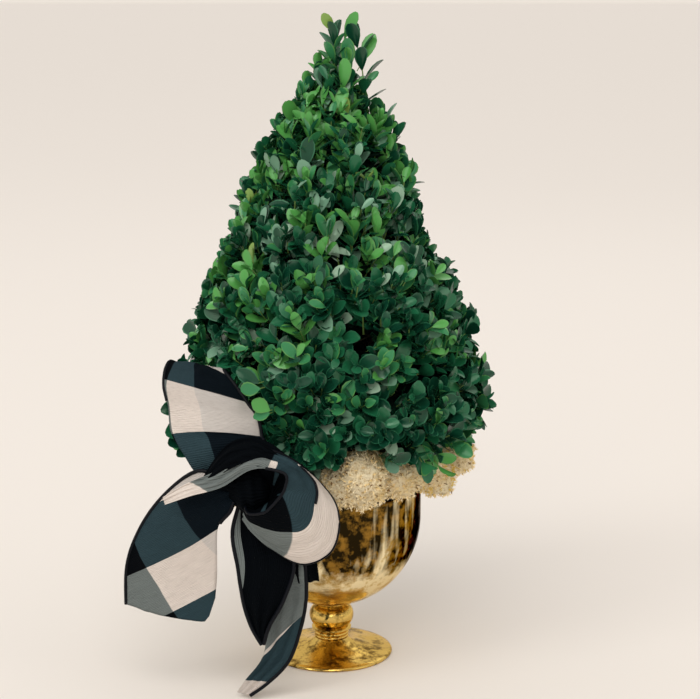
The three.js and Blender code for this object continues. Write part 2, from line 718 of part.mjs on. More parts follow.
function growCrown(masses, trunkRoom, mossRoom, obstacles) {
  const random = seeded(SEED);
  for (const mass of masses) {
    mass.core = coreOf(mass, trunkRoom, mossRoom);
  }
  const inOutline = (point) =>
    point.z > CROWN_FOOT - 12 && Math.hypot(point.x, point.y) < outerRadius(point.z) + 6;
  const free = (item, mass) =>
    item.corners.every((corner) => inOutline(corner) && inRoom(mass, corner)) &&
    !obstacles.some((obstacle) => !item.room.intersect(obstacle).isEmpty()) &&
    masses.every(
      (other) =>
        other === mass || (!touches(item, other.pieces) && item.room.intersect(other.core).isEmpty()),
    );

  // Sprigs sit on a spiral whose turns lie closer where the cone is wider, so that they
  // are even over its skin.
  const slices = 400;
  const heights = [];
  let area = 0;
  for (let i = 0; i < slices; i++) {
    const height = CROWN_FOOT + 3 + (i / slices) * (CORE_TOP - CROWN_FOOT - 5);
    area += outerRadius(height) + 8;
    heights.push([area, height]);
  }
  for (let i = 0; i < SPRIGS; i++) {
    const height = along(heights, ((i + 0.5) / SPRIGS) * area);
    const turn = i * GOLDEN_ANGLE;
    const mass = masses.find(
      (m) =>
        height >= m.bottom &&
        height < m.top &&
        (m.whole || Math.cos(turn - (m.start + m.end) / 2) >= Math.cos((m.end - m.start) / 2)),
    );
    const rise = riseAt(height) + between(random, -9, 9) * DEG;
    const swing = turn + between(random, -0.2, 0.2);
    const rootRadius = coreRadius(height) * Math.cos(Math.PI / CORE_SIDES) - ROOT_DEPTH;
    const root = new THREE.Vector3(rootRadius * Math.cos(turn), rootRadius * Math.sin(turn), height);
    const way = new THREE.Vector3(
      Math.cos(swing) * Math.cos(rise),
      Math.sin(swing) * Math.cos(rise),
      Math.sin(rise),
    );
    const { twig, leaves } = sprigAt(random, root, way, twigLength(root, way) * between(random, 0.85, 1.1));
    if (!free(twig, mass) || crosses(twig, mass.pieces)) continue;
    const earlier = mass.pieces.slice();
    mass.pieces.push(twig);
    for (const choices of leaves) {
      for (const choice of choices) {
        const leaf = choice();
        if (!free(leaf, mass) || crosses(leaf, earlier)) continue;
        if (!leaf.solid.intersect(mass.core).isEmpty()) continue;
        mass.pieces.push(leaf);
        earlier.push(leaf);
        break;
      }
    }
  }
}

// The free shoots over the trunk's tip: stems from one root, with paired leaves.
function growLeader(others) {
  const random = seeded(SEED + 3);
  const root = trunkMiddle(TRUNK_TOP);
  root.z += GAP;
  const shoots = [
    {
      knees: [[0, 0, 0], [-3, 1, 17], [-3, 0, 34], [-1, -1, 46]],
      pairs: [[1, 0.2], [2, 1.6]],
      tip: [[0.35, 0, 1], [-0.5, 0.1, 1]],
    },
    {
      knees: [[0, 0, 0], [9, -2, 14], [15, -1, 30], [17, 0, 39]],
      pairs: [[1, 0.1], [2, 0.9]],
      tip: [[0.1, 0.1, 1], [0.9, -0.2, 0.8]],
    },
    {
      knees: [[0, 0, 0], [-9, 3, 9], [-11, 2, 19]],
      pairs: [[1, 1.2]],
      tip: [[-0.4, 0, 1], [0.2, -0.4, 1]],
    },
    {
      knees: [[0, 0, 0], [4, -9, 9], [8, -11, 20]],
      pairs: [[1, 0.4]],
      tip: [[0.7, 0, 1], [-0.2, -0.2, 1]],
    },
  ];
  const pieces = [];
  for (const { knees, pairs, tip } of shoots) {
    const places = knees.map((knee) => root.clone().add(new THREE.Vector3(...knee)));
    for (let i = 0; i < places.length - 1; i++) {
      const way = places[i + 1].clone().sub(places[i]);
      const length = way.length();
      pieces.push(twigAt(places[i].clone(), way.normalize(), length + 0.8, 1.5 - 0.2 * i));
    }
    for (const [knee, turn] of pairs) {
      const side = new THREE.Vector3(Math.cos(turn), Math.sin(turn), 0);
      for (const half of [1, -1]) {
        const way = new THREE.Vector3(0, 0, 1.1).addScaledVector(side, 0.75 * half).normalize();
        const start = places[knee].clone().addScaledVector(side, 0.2 * half);
        pieces.push(leafAt(start, way, new THREE.Vector3(0, 0, 1), LEAF_LENGTH * between(random, 0.85, 1)));
      }
    }
    for (const lean of tip) {
      const way = new THREE.Vector3(...lean).normalize();
      pieces.push(leafAt(places[places.length - 1], way, new THREE.Vector3(0, -1, 0.2), LEAF_LENGTH * 0.95));
    }
  }
  return pieces.filter((item, i) => i < 3 || !touches(item, others));
}

// ---- Assembly --------------------------------------------------------------------

const part = new THREE.Group();
part.add(makeGoblet());
part.add(piece("trunk", geometryOf(trunkSolid()), bark));

const mossRoom = wasm.Manifold.union(mossClumps.map((clump) => mossLump(clump, GAP * 2)));
const mossGroup = new THREE.Group();
for (const { name, solid } of makeMoss(pickSolid(GAP))) {
  mossGroup.add(piece(name, geometryOf(solid), mossFinish));
}
part.add(mossGroup);

const bowGroup = new THREE.Group();
bowGroup.add(piece("bow_knot", geometryOf(knotSolid(0)), ribbonFinish));
bowGroup.add(piece("bow_pick", geometryOf(pickSolid(0)), pickFinish));
const knotRoom = knotSolid(GAP);
for (const [name, stations] of Object.entries(RIBBONS)) {
  const solid = joined([ribbonSolid(stations, RIBBON_THICKNESS).subtract(knotRoom)]);
  bowGroup.add(piece(`bow_${name}`, geometryOf(solid), ribbonFinish));
}
part.add(bowGroup);

const masses = makeMasses();
const bowRoom = Object.values(RIBBONS).map((stations) => ribbonSolid(stations, RIBBON_THICKNESS + 2 * GAP));
growCrown(masses, trunkSolid(GAP), mossRoom, [mossRoom, pickSolid(GAP), knotSolid(GAP), ...bowRoom]);
const crownGroup = new THREE.Group();
for (const mass of masses) {
  const solid = joined([mass.core, ...mass.pieces.map((item) => item.solid)]);
  crownGroup.add(piece(mass.name, geometryOf(solid), foliage));
}
const leader = growLeader(masses.flatMap((mass) => mass.pieces));
const leaderSolid = joined(leader.map((item) => item.solid)).subtract(trunkSolid(GAP));
crownGroup.add(piece("crown_leader", geometryOf(joined([leaderSolid])), foliage));
part.add(crownGroup);

export default part;
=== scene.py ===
# A clipped boxwood cone in a gilt footed goblet, with a reindeer moss collar and a
# wired ribbon bow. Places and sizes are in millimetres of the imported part's frame, and
# become metres where a mesh is made.
import math
import random

import bpy
import numpy as np
from mathutils import Matrix, Vector, kdtree, noise


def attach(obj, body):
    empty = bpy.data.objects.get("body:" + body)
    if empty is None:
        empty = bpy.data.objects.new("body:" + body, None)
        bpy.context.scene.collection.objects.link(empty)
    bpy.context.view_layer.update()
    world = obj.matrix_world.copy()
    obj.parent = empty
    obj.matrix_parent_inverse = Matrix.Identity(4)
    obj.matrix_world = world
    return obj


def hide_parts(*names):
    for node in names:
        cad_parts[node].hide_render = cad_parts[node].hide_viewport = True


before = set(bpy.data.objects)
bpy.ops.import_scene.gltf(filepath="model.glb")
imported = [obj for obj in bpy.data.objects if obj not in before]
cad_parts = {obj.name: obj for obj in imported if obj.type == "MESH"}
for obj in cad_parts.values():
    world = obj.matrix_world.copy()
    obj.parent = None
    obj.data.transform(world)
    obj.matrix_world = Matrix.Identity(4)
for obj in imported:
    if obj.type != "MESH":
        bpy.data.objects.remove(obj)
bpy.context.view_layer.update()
scene = bpy.context.scene
mm = 0.001
goldenAngle = math.radians(137.508)
print("frame loaded:", len(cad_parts), "nodes")


# Small tools

def linearColour(hexText):
    # an sRGB hex value as linear light
    channels = [int(hexText[i:i + 2], 16) / 255 for i in (1, 3, 5)]
    return [c / 12.92 if c <= 0.04045 else ((c + 0.055) / 1.055) ** 2.4 for c in channels] + [1.0]


def addNode(tree, kind, settings=None, inputs=None):
    node = tree.nodes.new(kind)
    for key, value in (settings or {}).items():
        setattr(node, key, value)
    for key, value in (inputs or {}).items():
        if isinstance(value, bpy.types.NodeSocket):
            tree.links.new(value, node.inputs[key])
        else:
            node.inputs[key].default_value = value
    return node


# settings that many nodes share
times = {"operation": "MULTIPLY"}
plus = {"operation": "ADD"}
ofColours = {"data_type": "RGBA"}


def newMaterial(name, values):
    material = bpy.data.materials.new(name)
    material.use_nodes = True
    tree = material.node_tree
    tree.nodes.clear()
    shader = addNode(tree, "ShaderNodeBsdfPrincipled", None, values)
    addNode(tree, "ShaderNodeOutputMaterial", None, {"Surface": shader.outputs[0]})
    return material, tree, shader


def meshPiece(name, places, faces, materials, materialOf=None, smooth=True):
    # a mesh from arrays; its four-sided faces may be smooth, all others are flat
    faces = faces.tolist() if isinstance(faces, np.ndarray) else faces
    mesh = bpy.data.meshes.new(name)
    mesh.from_pydata(np.asarray(places).tolist(), [], faces)
    for material in materials:
        mesh.materials.append(material)
    if materialOf is not None:
        mesh.polygons.foreach_set("material_index", np.asarray(materialOf, dtype=np.int32))
    mesh.polygons.foreach_set("use_smooth", [smooth and len(face) == 4 for face in faces])
    mesh.update()
    piece = bpy.data.objects.new(name, mesh)
    scene.collection.objects.link(piece)
    return piece


def tubeFaces(rings, sides):
    # the wall between rings of points, and a cap at each end
    faces = []
    for ring in range(rings - 1):
        for side in range(sides):
            a, b = ring * sides + side, ring * sides + (side + 1) % sides
            faces.append((a, b, b + sides, a + sides))
    faces.append(tuple(reversed(range(sides))))
    faces.append(tuple(range((rings - 1) * sides, rings * sides)))
    return faces


def sheetFaces(rows, across):
    # an open net, as many faces along and across as told
    faces = []
    for row in range(rows):
        for i in range(across):
            a = row * (across + 1) + i
            faces.append((a, a + across + 1, a + across + 2, a + 1))
    return faces


def pickOnly(piece):
    bpy.ops.object.select_all(action="DESELECT")
    piece.select_set(True)
    bpy.context.view_layer.objects.active = piece


def applyModifier(piece, kind, **settings):
    pickOnly(piece)
    modifier = piece.modifiers.new(kind, kind)
    for key, value in settings.items():
        setattr(modifier, key, value)
    bpy.ops.object.modifier_apply(modifier=modifier.name)


def standFor(piece, slotName, *nodes):
    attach(piece, "root")
    if nodes:
        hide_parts(*nodes)


def nodesNamed(start):
    return [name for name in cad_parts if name.startswith(start)]


def between(table, x):
    # value at x on the line through a list of (x, value)
    xs, values = zip(*table)
    return float(np.interp(x, xs, values))


# Camera, light and floor

studio = {
    "cameraPlace": (0.0153, -1.3761, 0.5276),
    "cameraTilt": 78.77,  # degrees from straight down
    "lens": 90,
    "floorColour": "#eee9e4",
    "skyColour": "#f3eee8",
    "roomColour": "#4a4138",
    "skyStrength": 0.79,
    "sunStrength": 1.2,
    "windowPower": 68,
    "fillPower": 4,
    "rimPower": 3,
}

cameraData = bpy.data.cameras.new("camera")
cameraData.lens = studio["lens"]
cameraData.sensor_width = 36
camera = bpy.data.objects.new("camera", cameraData)
camera.location = studio["cameraPlace"]
camera.rotation_euler = (math.radians(studio["cameraTilt"]), 0, 0)
scene.collection.objects.link(camera)
scene.camera = camera
scene.view_settings.view_transform = "Standard"


def areaLight(name, place, target, size, power, colour):
    data = bpy.data.lights.new(name, "AREA")
    data.shape = "RECTANGLE"
    data.size, data.size_y = size
    data.energy = power
    data.color = linearColour(colour)[:3]
    light = bpy.data.objects.new(name, data)
    light.location = place
    light.rotation_euler = (Vector(target) - Vector(place)).to_track_quat("-Z", "Y").to_euler()
    scene.collection.objects.link(light)
    return light


areaLight("windowLight", (-3.6, -3.1, 4.0), (0, 0, 0.25), (2.0, 2.2), studio["windowPower"], "#fffdf8")
areaLight("fillLight", (2.2, -1.7, 1.3), (0, 0, 0.25), (0.9, 1.8), studio["fillPower"], "#fdf8f0")
areaLight("rimLight", (0.8, 2.0, 2.2), (0, 0, 0.3), (1.4, 1.4), studio["rimPower"], "#ffffff")

sunData = bpy.data.lights.new("softSun", "SUN")
sunData.energy = studio["sunStrength"]
sunData.angle = math.radians(50)
sunData.color = linearColour("#fffaf5")[:3]
sun = bpy.data.objects.new("softSun", sunData)
sun.rotation_euler = Vector((0.1, 0.9, -0.9)).to_track_quat("-Z", "Y").to_euler()
scene.collection.objects.link(sun)

# pale air, with the darker shapes of a room high up on the side the gilt glass looks towards
world = bpy.data.worlds.new("studioAir")
world.use_nodes = True
airTree = world.node_tree
background = airTree.nodes["Background"]
way = addNode(airTree, "ShaderNodeTexCoord").outputs["Generated"]
parts = addNode(airTree, "ShaderNodeSeparateXYZ", None, {0: way})
shapes = addNode(airTree, "ShaderNodeTexNoise", None, {"Vector": way, "Scale": 3.2, "Detail": 0.0}).outputs[0]
dark = addNode(airTree, "ShaderNodeMapRange", None, {0: shapes, 1: 0.46, 2: 0.54}).outputs[0]
ahead = addNode(airTree, "ShaderNodeMapRange", None, {0: parts.outputs[1], 1: 0.0, 2: -0.2}).outputs[0]
below = addNode(airTree, "ShaderNodeMapRange", None, {0: parts.outputs[2], 1: 0.74, 2: 0.6}).outputs[0]
above = addNode(airTree, "ShaderNodeMapRange", None, {0: parts.outputs[2], 1: 0.36, 2: 0.46}).outputs[0]
band = addNode(airTree, "ShaderNodeMath", times, {0: below, 1: above}).outputs[0]
shapesAhead = addNode(airTree, "ShaderNodeMath", times, {0: dark, 1: ahead}).outputs[0]
room = addNode(airTree, "ShaderNodeMath", times, {0: shapesAhead, 1: band}).outputs[0]
air = addNode(airTree, "ShaderNodeMix", ofColours, {
    0: room, 6: linearColour(studio["skyColour"]), 7: linearColour(studio["roomColour"])}).outputs[2]
airTree.links.new(air, background.inputs["Color"])
background.inputs["Strength"].default_value = studio["skyStrength"]
scene.world = world

# the paper lies flat and turns up far away, so that it also fills the top of the view
bpy.ops.object.select_all(action="DESELECT")
bpy.ops.mesh.primitive_circle_add(vertices=96, radius=880, fill_type="NGON", location=(0, 0, 0))
floor = bpy.context.object
floor.name = "floor"
bpy.ops.object.mode_set(mode="EDIT")
bpy.ops.mesh.select_all(action="SELECT")
bpy.ops.mesh.inset(thickness=30)
bpy.ops.mesh.select_all(action="DESELECT")
bpy.ops.object.mode_set(mode="OBJECT")
for vertex in floor.data.vertices:
    if vertex.co.to_2d().length > 870:
        vertex.co.z = 12
# Background paper: matt, uncoated and almost white, so it shows soft shadows and no gloss
floorPaper, tree, shader = newMaterial("mattBackgroundPaper", {
    "Base Color": linearColour(studio["floorColour"]),
    "Roughness": 0.9,
    "Specular IOR Level": 0.1,
})
floor.data.materials.append(floorPaper)
print("studio ready")


# Goblet: glass silvered from inside and tinted gold, turned round the middle axis

goblet = {
    "sides": 96,
    "footRadius": 50.0,
    "neckRadius": 13.5,
    "knopRadius": 18.2,
    "rimRadius": 73.0,
    "bowlWidest": 118.0,
    "bowlDepth": 75.0,
    "bowlBase": 43.6,
    "height": 144.0,
    "wall": 3.0,
    "bowlLight": "#f8e8bc",
    "bowlDeep": "#cfab60",
    "stemLight": "#e4c069",
    "stemDeep": "#6e511b",
    # the dark streaks and their mottles: partly worn silver, partly a painted reflection of the dark room on
    # the upper bowl
    "wearAndDarkReflection": "#251d0d",
    "mottle": "#946e2c",
    "wearAndDarkReflectionEdge": "#54421f",
    "edgeTint": "#fff0d2",
    "streakFoot": 0.078,  # metres: the dark streaks, partly worn silver and partly painted reflection, run down from the rim to about here
}


def turnedPiece(name, profile, sides):
    # a ring at the profile's first point, drawn up through the others, closed at both ends
    bpy.ops.object.select_all(action="DESELECT")
    radius, height = profile[0]
    bpy.ops.mesh.primitive_circle_add(vertices=sides, radius=radius * mm, location=(0, 0, height * mm))
    piece = bpy.context.object
    piece.name = name
    bpy.ops.object.transform_apply(location=True, rotation=False, scale=False)
    bpy.ops.object.mode_set(mode="EDIT")
    bpy.ops.mesh.select_all(action="SELECT")
    bpy.ops.mesh.edge_face_add()
    bpy.ops.mesh.select_all(action="DESELECT")
    bpy.ops.mesh.select_mode(type="EDGE")
    bpy.ops.mesh.select_all(action="SELECT")
    for (oldRadius, oldHeight), (newRadius, newHeight) in zip(profile, profile[1:]):
        bpy.ops.mesh.extrude_edges_move(
            TRANSFORM_OT_translate={"value": (0, 0, (newHeight - oldHeight) * mm)})
        scale = newRadius / oldRadius
        bpy.ops.transform.resize(value=(scale, scale, 1), center_override=(0, 0, newHeight * mm))
    bpy.ops.mesh.edge_face_add()
    bpy.ops.mesh.select_all(action="SELECT")
    bpy.ops.mesh.normals_make_consistent(inside=False)
    bpy.ops.object.mode_set(mode="OBJECT")
    pickOnly(piece)
    bpy.ops.object.shade_smooth_by_angle(angle=math.radians(40))
    return piece


def ellipseArc(across, down, middle, start, end, steps):
    # points from one angle to the other, in degrees, on the bowl's round side
    arc = []
    for i in range(steps + 1):
        turn = math.radians(start + (end - start) * i / steps)
        arc.append((across * math.cos(turn), middle + down * math.sin(turn)))
    return arc


def gobletProfiles(g):
    foot = [(0.5, 0), (g["footRadius"] - 2.2, 0)]
    foot += [(g["footRadius"] - 0.9, 0.25), (g["footRadius"] - 0.2, 0.9), (g["footRadius"], 1.6)]
    foot += [(g["footRadius"] - 0.35, 2.3), (g["footRadius"] - 1.2, 2.8)]
    for i in range(1, 17):
        t = i / 16
        radius = (1 - t) ** 2 * (g["footRadius"] - 1.2) + 2 * t * (1 - t) * 21 + t * t * g["neckRadius"]
        height = (1 - t) ** 2 * 2.8 + 2 * t * (1 - t) * 5 + t * t * 13.0
        foot.append((radius, height))
    foot.append((0.5, 13.0))
    base = 13.35
    knop = [(0.5, base), (g["neckRadius"], base)]
    for middle, size, bulge in ((14.6, 1.2, 1.2), (17.4, 1.5, 1.4), (21.6, 2.0, 3.4)):
        for turn in (-80, -45, -15, 15, 45, 80):
            a = math.radians(turn)
            knop.append((g["neckRadius"] - 0.6 + bulge * math.cos(a), middle + size * math.sin(a)))
    for turn in range(-62, 63, 9):
        a = math.radians(turn)
        knop.append((g["knopRadius"] - 6.6 + 6.6 * math.cos(a), 32.2 + 8.6 * math.sin(a)))
    knop += [(12.6, 40.6), (12.7, 41.4), (13.4, 42.2), (13.5, 43.2), (0.5, 43.2)]
    rim, wall = g["rimRadius"], g["wall"]
    outer = ellipseArc(rim, g["bowlDepth"], g["bowlWidest"], -79.4, 0, 26)
    inner = ellipseArc(rim - wall, g["bowlDepth"] - wall, g["bowlWidest"], 0, -79, 22)
    roundedEdge = [(0, 14), (0, 1.6), (0.4, 0.6), (1.1, 0.1), (1.9, 0.1), (2.6, 0.6), (3, 1.6), (3, 14)]
    lip = [(rim - inwards, g["height"] - down) for inwards, down in roundedEdge]
    bowl = [(0.5, g["bowlBase"])] + outer + lip + inner + [(0.5, g["bowlBase"] + wall)]
    return foot, knop, bowl


def giltGlass(g):
    # Mercury glass: blown soda glass silvered on its inner face and lacquered gold. It gives a mirror with
    # slow waves and cloudy crackle. On the bowl's upper part dark streaks run down from the rim, with
    # brown-gold mottles left in them: partly silver worn away, partly a painted reflection of the dark room;
    # stem and foot are a deeper yellow.
    material, tree, shader = newMaterial("goldMercuryGlass", {"Metallic": 1.0})
    place = addNode(tree, "ShaderNodeTexCoord").outputs["Object"]
    level = addNode(tree, "ShaderNodeSeparateXYZ", None, {0: place}).outputs[2]
    stretched = addNode(tree, "ShaderNodeMapping", None, {"Vector": place, "Scale": (1, 1, 0.12)}).outputs[0]
    streaks = addNode(tree, "ShaderNodeTexNoise", None,
                      {"Vector": stretched, "Scale": 34.0, "Detail": 4.0, "Roughness": 0.55}).outputs[0]
    clouds = addNode(tree, "ShaderNodeTexNoise", None,
                     {"Vector": place, "Scale": 85.0, "Detail": 6.0, "Roughness": 0.7}).outputs[0]
    flakes = addNode(tree, "ShaderNodeTexNoise", None,
                     {"Vector": place, "Scale": 120.0, "Detail": 5.0, "Roughness": 0.6}).outputs[0]

    # where the streaks end above the bowl's foot, and where the stem's deeper gold ends
    rag = addNode(tree, "ShaderNodeMath", times, {0: clouds, 1: 0.03}).outputs[0]
    ragged = addNode(tree, "ShaderNodeMath", plus, {0: level, 1: rag}).outputs[0]
    foot = g["streakFoot"] + 0.015
    onBowl = addNode(tree, "ShaderNodeMapRange", None, {0: ragged, 1: foot, 2: foot + 0.012}).outputs[0]
    pastStem = addNode(tree, "ShaderNodeMapRange", None, {0: level, 1: 0.044, 2: 0.06}).outputs[0]
    # dark streaks, only on the bowl above the streaks' foot: partly worn silver, partly a painted reflection
    # of the dark room
    darkStreakMask = addNode(tree, "ShaderNodeMapRange", None, {0: streaks, 1: 0.46, 2: 0.54}).outputs[0]
    wornClouds = addNode(tree, "ShaderNodeMapRange", None, {0: clouds, 1: 0.49, 2: 0.62}).outputs[0]
    left = addNode(tree, "ShaderNodeMapRange", None, {0: flakes, 1: 0.46, 2: 0.63}).outputs[0]
    darkness = addNode(tree, "ShaderNodeMath", times, {0: darkStreakMask, 1: onBowl}).outputs[0]

    streakColour = addNode(tree, "ShaderNodeMix", ofColours, {
        0: left, 6: linearColour(g["wearAndDarkReflection"]), 7: linearColour(g["mottle"])}).outputs[2]
    pale = addNode(tree, "ShaderNodeMix", ofColours, {
        0: pastStem, 6: linearColour(g["stemLight"]), 7: linearColour(g["bowlLight"])}).outputs[2]
    deep = addNode(tree, "ShaderNodeMix", ofColours, {
        0: pastStem, 6: linearColour(g["stemDeep"]), 7: linearColour(g["bowlDeep"])}).outputs[2]
    gold = addNode(tree, "ShaderNodeMix", ofColours, {0: wornClouds, 6: pale, 7: deep}).outputs[2]
    streakedGold = addNode(tree, "ShaderNodeMix", ofColours, {0: darkness, 6: gold, 7: streakColour}).outputs[2]
    tree.links.new(streakedGold, shader.inputs["Base Color"])
    # where the dark streaks are painted, the grazing reflection is darkened too
    edge = addNode(tree, "ShaderNodeMix", ofColours, {
        0: darkness, 6: linearColour(g["edgeTint"]), 7: linearColour(g["wearAndDarkReflectionEdge"])}).outputs[2]
    tree.links.new(edge, shader.inputs["Specular Tint"])

    rough = addNode(tree, "ShaderNodeMapRange", None,
                    {0: clouds, 1: 0.3, 2: 0.75, 3: 0.04, 4: 0.3}).outputs[0]
    tree.links.new(rough, shader.inputs["Roughness"])
    waves = addNode(tree, "ShaderNodeTexNoise", None,
                    {"Vector": place, "Scale": 34.0, "Detail": 1.0}).outputs[0]
    crackle = addNode(tree, "ShaderNodeMath", times, {0: clouds, 1: 0.12}).outputs[0]
    height = addNode(tree, "ShaderNodeMath", plus, {0: waves, 1: crackle}).outputs[0]
    bump = addNode(tree, "ShaderNodeBump", None, {"Strength": 0.55, "Distance": 0.004, "Height": height})
    tree.links.new(bump.outputs[0], shader.inputs["Normal"])
    return material


goldGlass = giltGlass(goblet)
for part, profile in zip(("Foot", "Knop", "Bowl"), gobletProfiles(goblet)):
    turned = turnedPiece("goblet" + part, profile, goblet["sides"])
    turned.data.materials.append(goldGlass)
    standFor(turned, "gilt_glass", "goblet_" + part.lower())
print("goblet turned")


# Soil and pick: the frame's own solids, with a finish

def finishNode(name, material):
    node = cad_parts[name]
    node.data.materials.clear()
    node.data.materials.append(material)


# Potting mix: damp peat and bark, dark brown crumbs of about 3 mm without any shine
soilMix, tree, shader = newMaterial("dampPottingMix", {"Roughness": 0.95, "Specular IOR Level": 0.2})
place = addNode(tree, "ShaderNodeTexCoord").outputs["Object"]
crumbs = addNode(tree, "ShaderNodeTexVoronoi", None, {"Vector": place, "Scale": 320.0}).outputs[0]
earth = addNode(tree, "ShaderNodeMix", ofColours, {
    0: crumbs, 6: linearColour("#1d140d"), 7: linearColour("#4a3827")}).outputs[2]
tree.links.new(earth, shader.inputs["Base Color"])
bump = addNode(tree, "ShaderNodeBump", None, {"Strength": 0.8, "Distance": 0.002, "Height": crumbs})
tree.links.new(bump.outputs[0], shader.inputs["Normal"])
finishNode("soil", soilMix)

# Birch: a planed stick, pale tan with a fine darker grain
birchStick, tree, shader = newMaterial("birchStick", {"Roughness": 0.7})
place = addNode(tree, "ShaderNodeTexCoord").outputs["Object"]
grain = addNode(tree, "ShaderNodeTexNoise", None, {"Vector": place, "Scale": 400.0, "Detail": 3.0}).outputs[0]
wood = addNode(tree, "ShaderNodeMix", ofColours, {
    0: grain, 6: linearColour("#b79a6a"), 7: linearColour("#8b7148")}).outputs[2]
tree.links.new(wood, shader.inputs["Base Color"])
finishNode("bow_pick", birchStick)


# Trunk with bark relief

trunk = {
    "foot": 135.4,
    "top": 452.0,
    "soilLevel": 135.0,
    "radius": 8.0,
    "tipRadius": 1.6,
    "flare": 5.5,
    "lean": 7.0,
    "rings": 150,
    "sides": 26,
    "barkDepth": 0.7,
}


def trunkMiddle(height):
    share = (height - trunk["soilLevel"]) / (trunk["top"] - trunk["soilLevel"])
    sway = 2.2 * math.sin(share * 5)
    return Vector((trunk["lean"] * share * share + sway, -sway * 0.6, height))


def trunkRadius(height):
    share = (height - trunk["soilLevel"]) / (trunk["top"] - trunk["soilLevel"])
    flare = trunk["flare"] * math.exp(-(height - trunk["soilLevel"]) / 9)
    return trunk["radius"] + (trunk["tipRadius"] - trunk["radius"]) * share + flare


def makeTrunk(bark):
    places = []
    rings, sides = trunk["rings"], trunk["sides"]
    for ring in range(rings + 1):
        height = trunk["foot"] + (trunk["top"] - trunk["foot"]) * ring / rings
        middle, radius = trunkMiddle(height), trunkRadius(height)
        for side in range(sides):
            turn = 2 * math.pi * side / sides
            across = Vector((math.cos(turn), math.sin(turn), 0))
            ridge = noise.noise(Vector((4 * across.x, 4 * across.y, height * 0.09)))
            plate = noise.noise(Vector((9 * across.x, 9 * across.y, height * 0.3)))
            depth = trunk["barkDepth"] * min(1, radius / 4) * (0.7 * ridge + 0.3 * plate - 0.35)
            places.append((middle + across * (radius + depth)) * mm)
    return meshPiece("trunkBark", places, tubeFaces(rings + 1, sides), [bark])


# Boxwood bark: thin, corky and pale grey-brown, finely cracked along the stem
boxBark, tree, shader = newMaterial("boxwoodBark", {"Roughness": 0.9, "Specular IOR Level": 0.25})
place = addNode(tree, "ShaderNodeTexCoord").outputs["Object"]
along = addNode(tree, "ShaderNodeMapping", None, {"Vector": place, "Scale": (1, 1, 0.25)}).outputs[0]
cracks = addNode(tree, "ShaderNodeTexNoise", None,
                 {"Vector": along, "Scale": 500.0, "Detail": 6.0}).outputs[0]
cork = addNode(tree, "ShaderNodeMix", ofColours, {
    0: cracks, 6: linearColour("#4b3d2b"), 7: linearColour("#8d7c60")}).outputs[2]
tree.links.new(cork, shader.inputs["Base Color"])
bump = addNode(tree, "ShaderNodeBump", None, {"Strength": 0.6, "Distance": 0.001, "Height": cracks})
tree.links.new(bump.outputs[0], shader.inputs["Normal"])
standFor(makeTrunk(boxBark), "bark", "trunk")
print("trunk grown")


# Bow: five runs of wired ribbon, a wrapped knot and two loose folds

bow = {
    "thickness": 0.5,
    "wireRadius": 1.15,
    "across": 28,
    "rowsPerStation": 10,
    "cornerStart": 0.8,  # share of a tail's length from where its corner is rounded off
    "cornerWidth": 0.22,  # and the share of its half width
    "warpEdges": (26.5, 68.5),  # from the ribbon's first edge
    "check": 42.0,
    "darkRow": ("#03060a", "#2e4148", "#0a131a"),  # first, middle and last band of the warp
    "lightRow": ("#707877", "#ddd3cb", "#cdc7c2"),
    "edge": "#03060e",
    "knot": (-60, -118, 172),
    "knotSize": (17, 13, 18),
    "knotFold": (-90, -126, 179),
    "knotFoldRadii": (10, 4),
    "throat": (-44, -122, 166),
    "throatStart": 0.33,  # share of the right loop where its inside begins
    # a black oval of folds inside the right loop: painted shade
    "shadeFolds": (-36, -114, 166),
    "shadeFoldsSize": (22, 7, 24),
    "seam": [(46, 0.66), (53, 0.58), (62, 0.46)],  # rows of the right loop, and how far across
}

